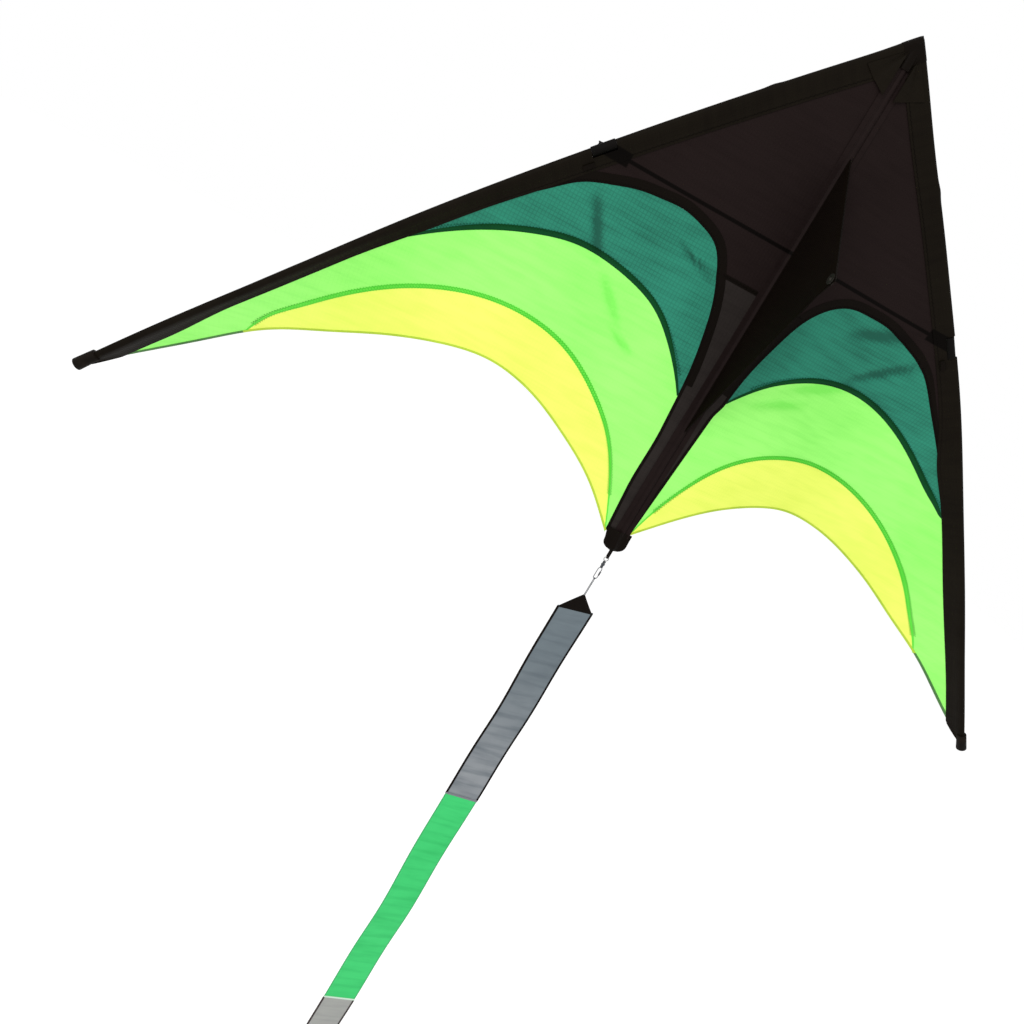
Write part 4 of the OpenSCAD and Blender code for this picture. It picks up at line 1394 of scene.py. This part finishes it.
def ribbon_cloth(name, colour, shadow, foot_colour=None, edge_colour=None):
    """Ribbon nylon with faint creases across it, paler towards its foot where foot_colour is given, and
    with its cut edges in edge_colour."""
    finish = Finish(name)
    cut = finish.node("UVMap", {"uv_map": "cut"}, {}, out="UV")
    streaks = finish.noise(finish.stretched(cut, (8.0, 70.0, 1.0)), 1.0, 5.0)
    cloud = finish.noise(cut, 12.0, 3.0)
    weave = finish.noise(cut, 1500.0, 2.0)
    shade = 0.6 * finish.between(streaks, 0.4, 0.75) + 0.3 * finish.between(cloud, 0.35, 0.7)
    split = finish.tree.nodes.new("ShaderNodeSeparateXYZ")
    finish.feed(split, {0: cut})
    if edge_colour:
        edge = finish.between(Value(finish, split.outputs[0]).math("ABSOLUTE"), 0.0290, 0.0310)
        colour = finish.mix(0.7 * edge, colour, edge_colour)
    if foot_colour:
        colour = finish.mix(finish.between(Value(finish, split.outputs[1]), 0.05, 0.40), colour, foot_colour)
    finish.shade(
        Base_Color=finish.mix(shade, colour, shadow), Roughness=0.5 + 0.15 * cloud,
        Normal=finish.bump(streaks * 0.8 + weave * 0.2, 0.4, 0.0006),
    )
    finish.shader.inputs["Specular IOR Level"].default_value = 0.08
    return finish.material


def tail_sway(z):
    """The ribbon's gentle waves: how far it hangs out of its plane and turns, nil at its joints."""
    sway, turn = 0.0, 0.0
    for high, low, deep in (
        (ribbon_top_z, green_top_z, 0.0030), (green_top_z, end_top_z, 0.0045), (end_top_z, foot_z, 0.0045),
    ):
        if low <= z <= high:
            along_it = (high - z) / (high - low)
            sway = deep * math.sin(math.pi * along_it) ** 2 * math.sin(2.6 * math.pi * along_it + 0.6)
            turn = 0.05 * math.sin(math.pi * along_it) ** 2
    return sway, turn


def set_askew(x, z):
    """How far a place of the ribbon hangs from where a straight one would: its seams sit a little askew."""
    marks = [
        (ribbon_top_z, -0.0045, 0.06), (green_top_z, -0.0020, -0.11), (end_top_z, -0.0042, -0.06),
        (foot_z, 0.0, 0.0),
    ]
    for (high, drop, slope), (low, next_drop, next_slope) in zip(marks, marks[1:]):
        if z >= low - 0.001:
            share = min(1.0, max(0.0, (high - z) / (high - low)))
            return drop + (next_drop - drop) * share + (slope + (next_slope - slope) * share) * x
    return 0.0


def ribbon_sheet(name, high, low, first_x, last_x, count, material, thick, body):
    rows, cut_rows = [], []
    for z in steps(high, low, count):
        sway, turn = tail_sway(z)
        rows.append([
            on_tail(x * math.cos(turn), sway + x * math.sin(turn), z + set_askew(x, z))
            for x in steps(first_x, last_x, 8 if last_x - first_x > 0.02 else 2)
        ])
        cut_rows.append([(x, high - z) for x in steps(first_x, last_x, len(rows[-1]) - 1)])
    return finish_sheet(grid_mesh(name, rows, cut_rows), thick, material, body)


head_rows = []
for share in steps(0, 1, 10):
    half = 0.0014 + (ribbon_half - 0.0014) * share
    z = head_top_z + (ribbon_top_z - 0.003 - head_top_z) * share
    head_rows.append([on_tail(x, 0, z + share * set_askew(x, ribbon_top_z)) for x in steps(-half, half, 12)])
head = plain_sheet("tail_head_cloth", head_rows, seam_black, 0.0016)
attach(head, "tail_upper")
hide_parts("tail_head")

grey = ribbon_cloth("upper grey ribbon", srgb(110, 121, 127), srgb(92, 101, 108), srgb(146, 150, 154))
pale_grey = ribbon_cloth("lower grey ribbon", srgb(163, 164, 160), srgb(142, 144, 142))
green = ribbon_cloth("green ribbon", srgb(66, 208, 117), srgb(48, 184, 98), edge_colour=srgb(70, 136, 96))
grey_seam = ribbon_cloth("grey seam", srgb(126, 128, 134), srgb(112, 114, 120))
pale_seam = ribbon_cloth("pale seam", srgb(206, 232, 212), srgb(180, 214, 190))
pale_tape = ripstop("edge tape of the lower ribbon", srgb(66, 58, 57), srgb(48, 42, 41), 0.02, 0.04)
for name, high, low, material, slot, body in (
    ("tail_grey_panel", ribbon_top_z, green_top_z, grey, "grey_ribbon", "tail_upper"),
    ("tail_green_panel", green_top_z, end_top_z, green, "green_ribbon", "tail_middle"),
    ("tail_end_panel", end_top_z, foot_z, pale_grey, "grey_ribbon", "tail_lower"),
):
    panel = ribbon_sheet(
        f"{name}_cloth", high, low, -ribbon_half, ribbon_half, 90, material, 0.0005, body,
    )
    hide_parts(name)

tapes = {"tail_upper": [], "tail_lower": []}
for name, high, low, body, cloth in (
    ("tail_grey_piping", ribbon_top_z - 0.001, green_top_z, "tail_upper", seam_black),
    ("tail_end_piping", end_top_z, foot_z, "tail_lower", pale_tape),
):
    for edge_name, start, end in (
        ("left", -ribbon_half - 0.0006, -ribbon_half + 0.0028),
        ("right", ribbon_half - 0.0028, ribbon_half + 0.0006),
    ):
        tape = ribbon_sheet(
            f"{name}_{edge_name}", high, low, start, end, 90, cloth, 0.0015, body,
        )
        tapes[body].append(tape)
        if edge_name == "left":
            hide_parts(name)
foot_tape = ribbon_sheet(
    "tail_end_foot_tape", foot_z + 0.008, foot_z, -ribbon_half, ribbon_half, 3, pale_tape,
    0.0015, "tail_lower",
)
tapes["tail_lower"].append(foot_tape)

for name, z, material, slot, first, second in (
    ("tail_green_seam", green_top_z, grey_seam, "grey_ribbon", "tail_upper", "tail_middle"),
    ("tail_end_seam", end_top_z, pale_seam, "green_ribbon", "tail_middle", "tail_lower"),
):
    band = ribbon_sheet(
        f"{name}_cloth", z + 0.003, z - 0.001, -ribbon_half, ribbon_half, 8, material, 0.0017, None,
    )
    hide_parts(name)
    z + 0.0022
    z - 0.0022
    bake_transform(band)

size = [list(corner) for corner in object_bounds()]
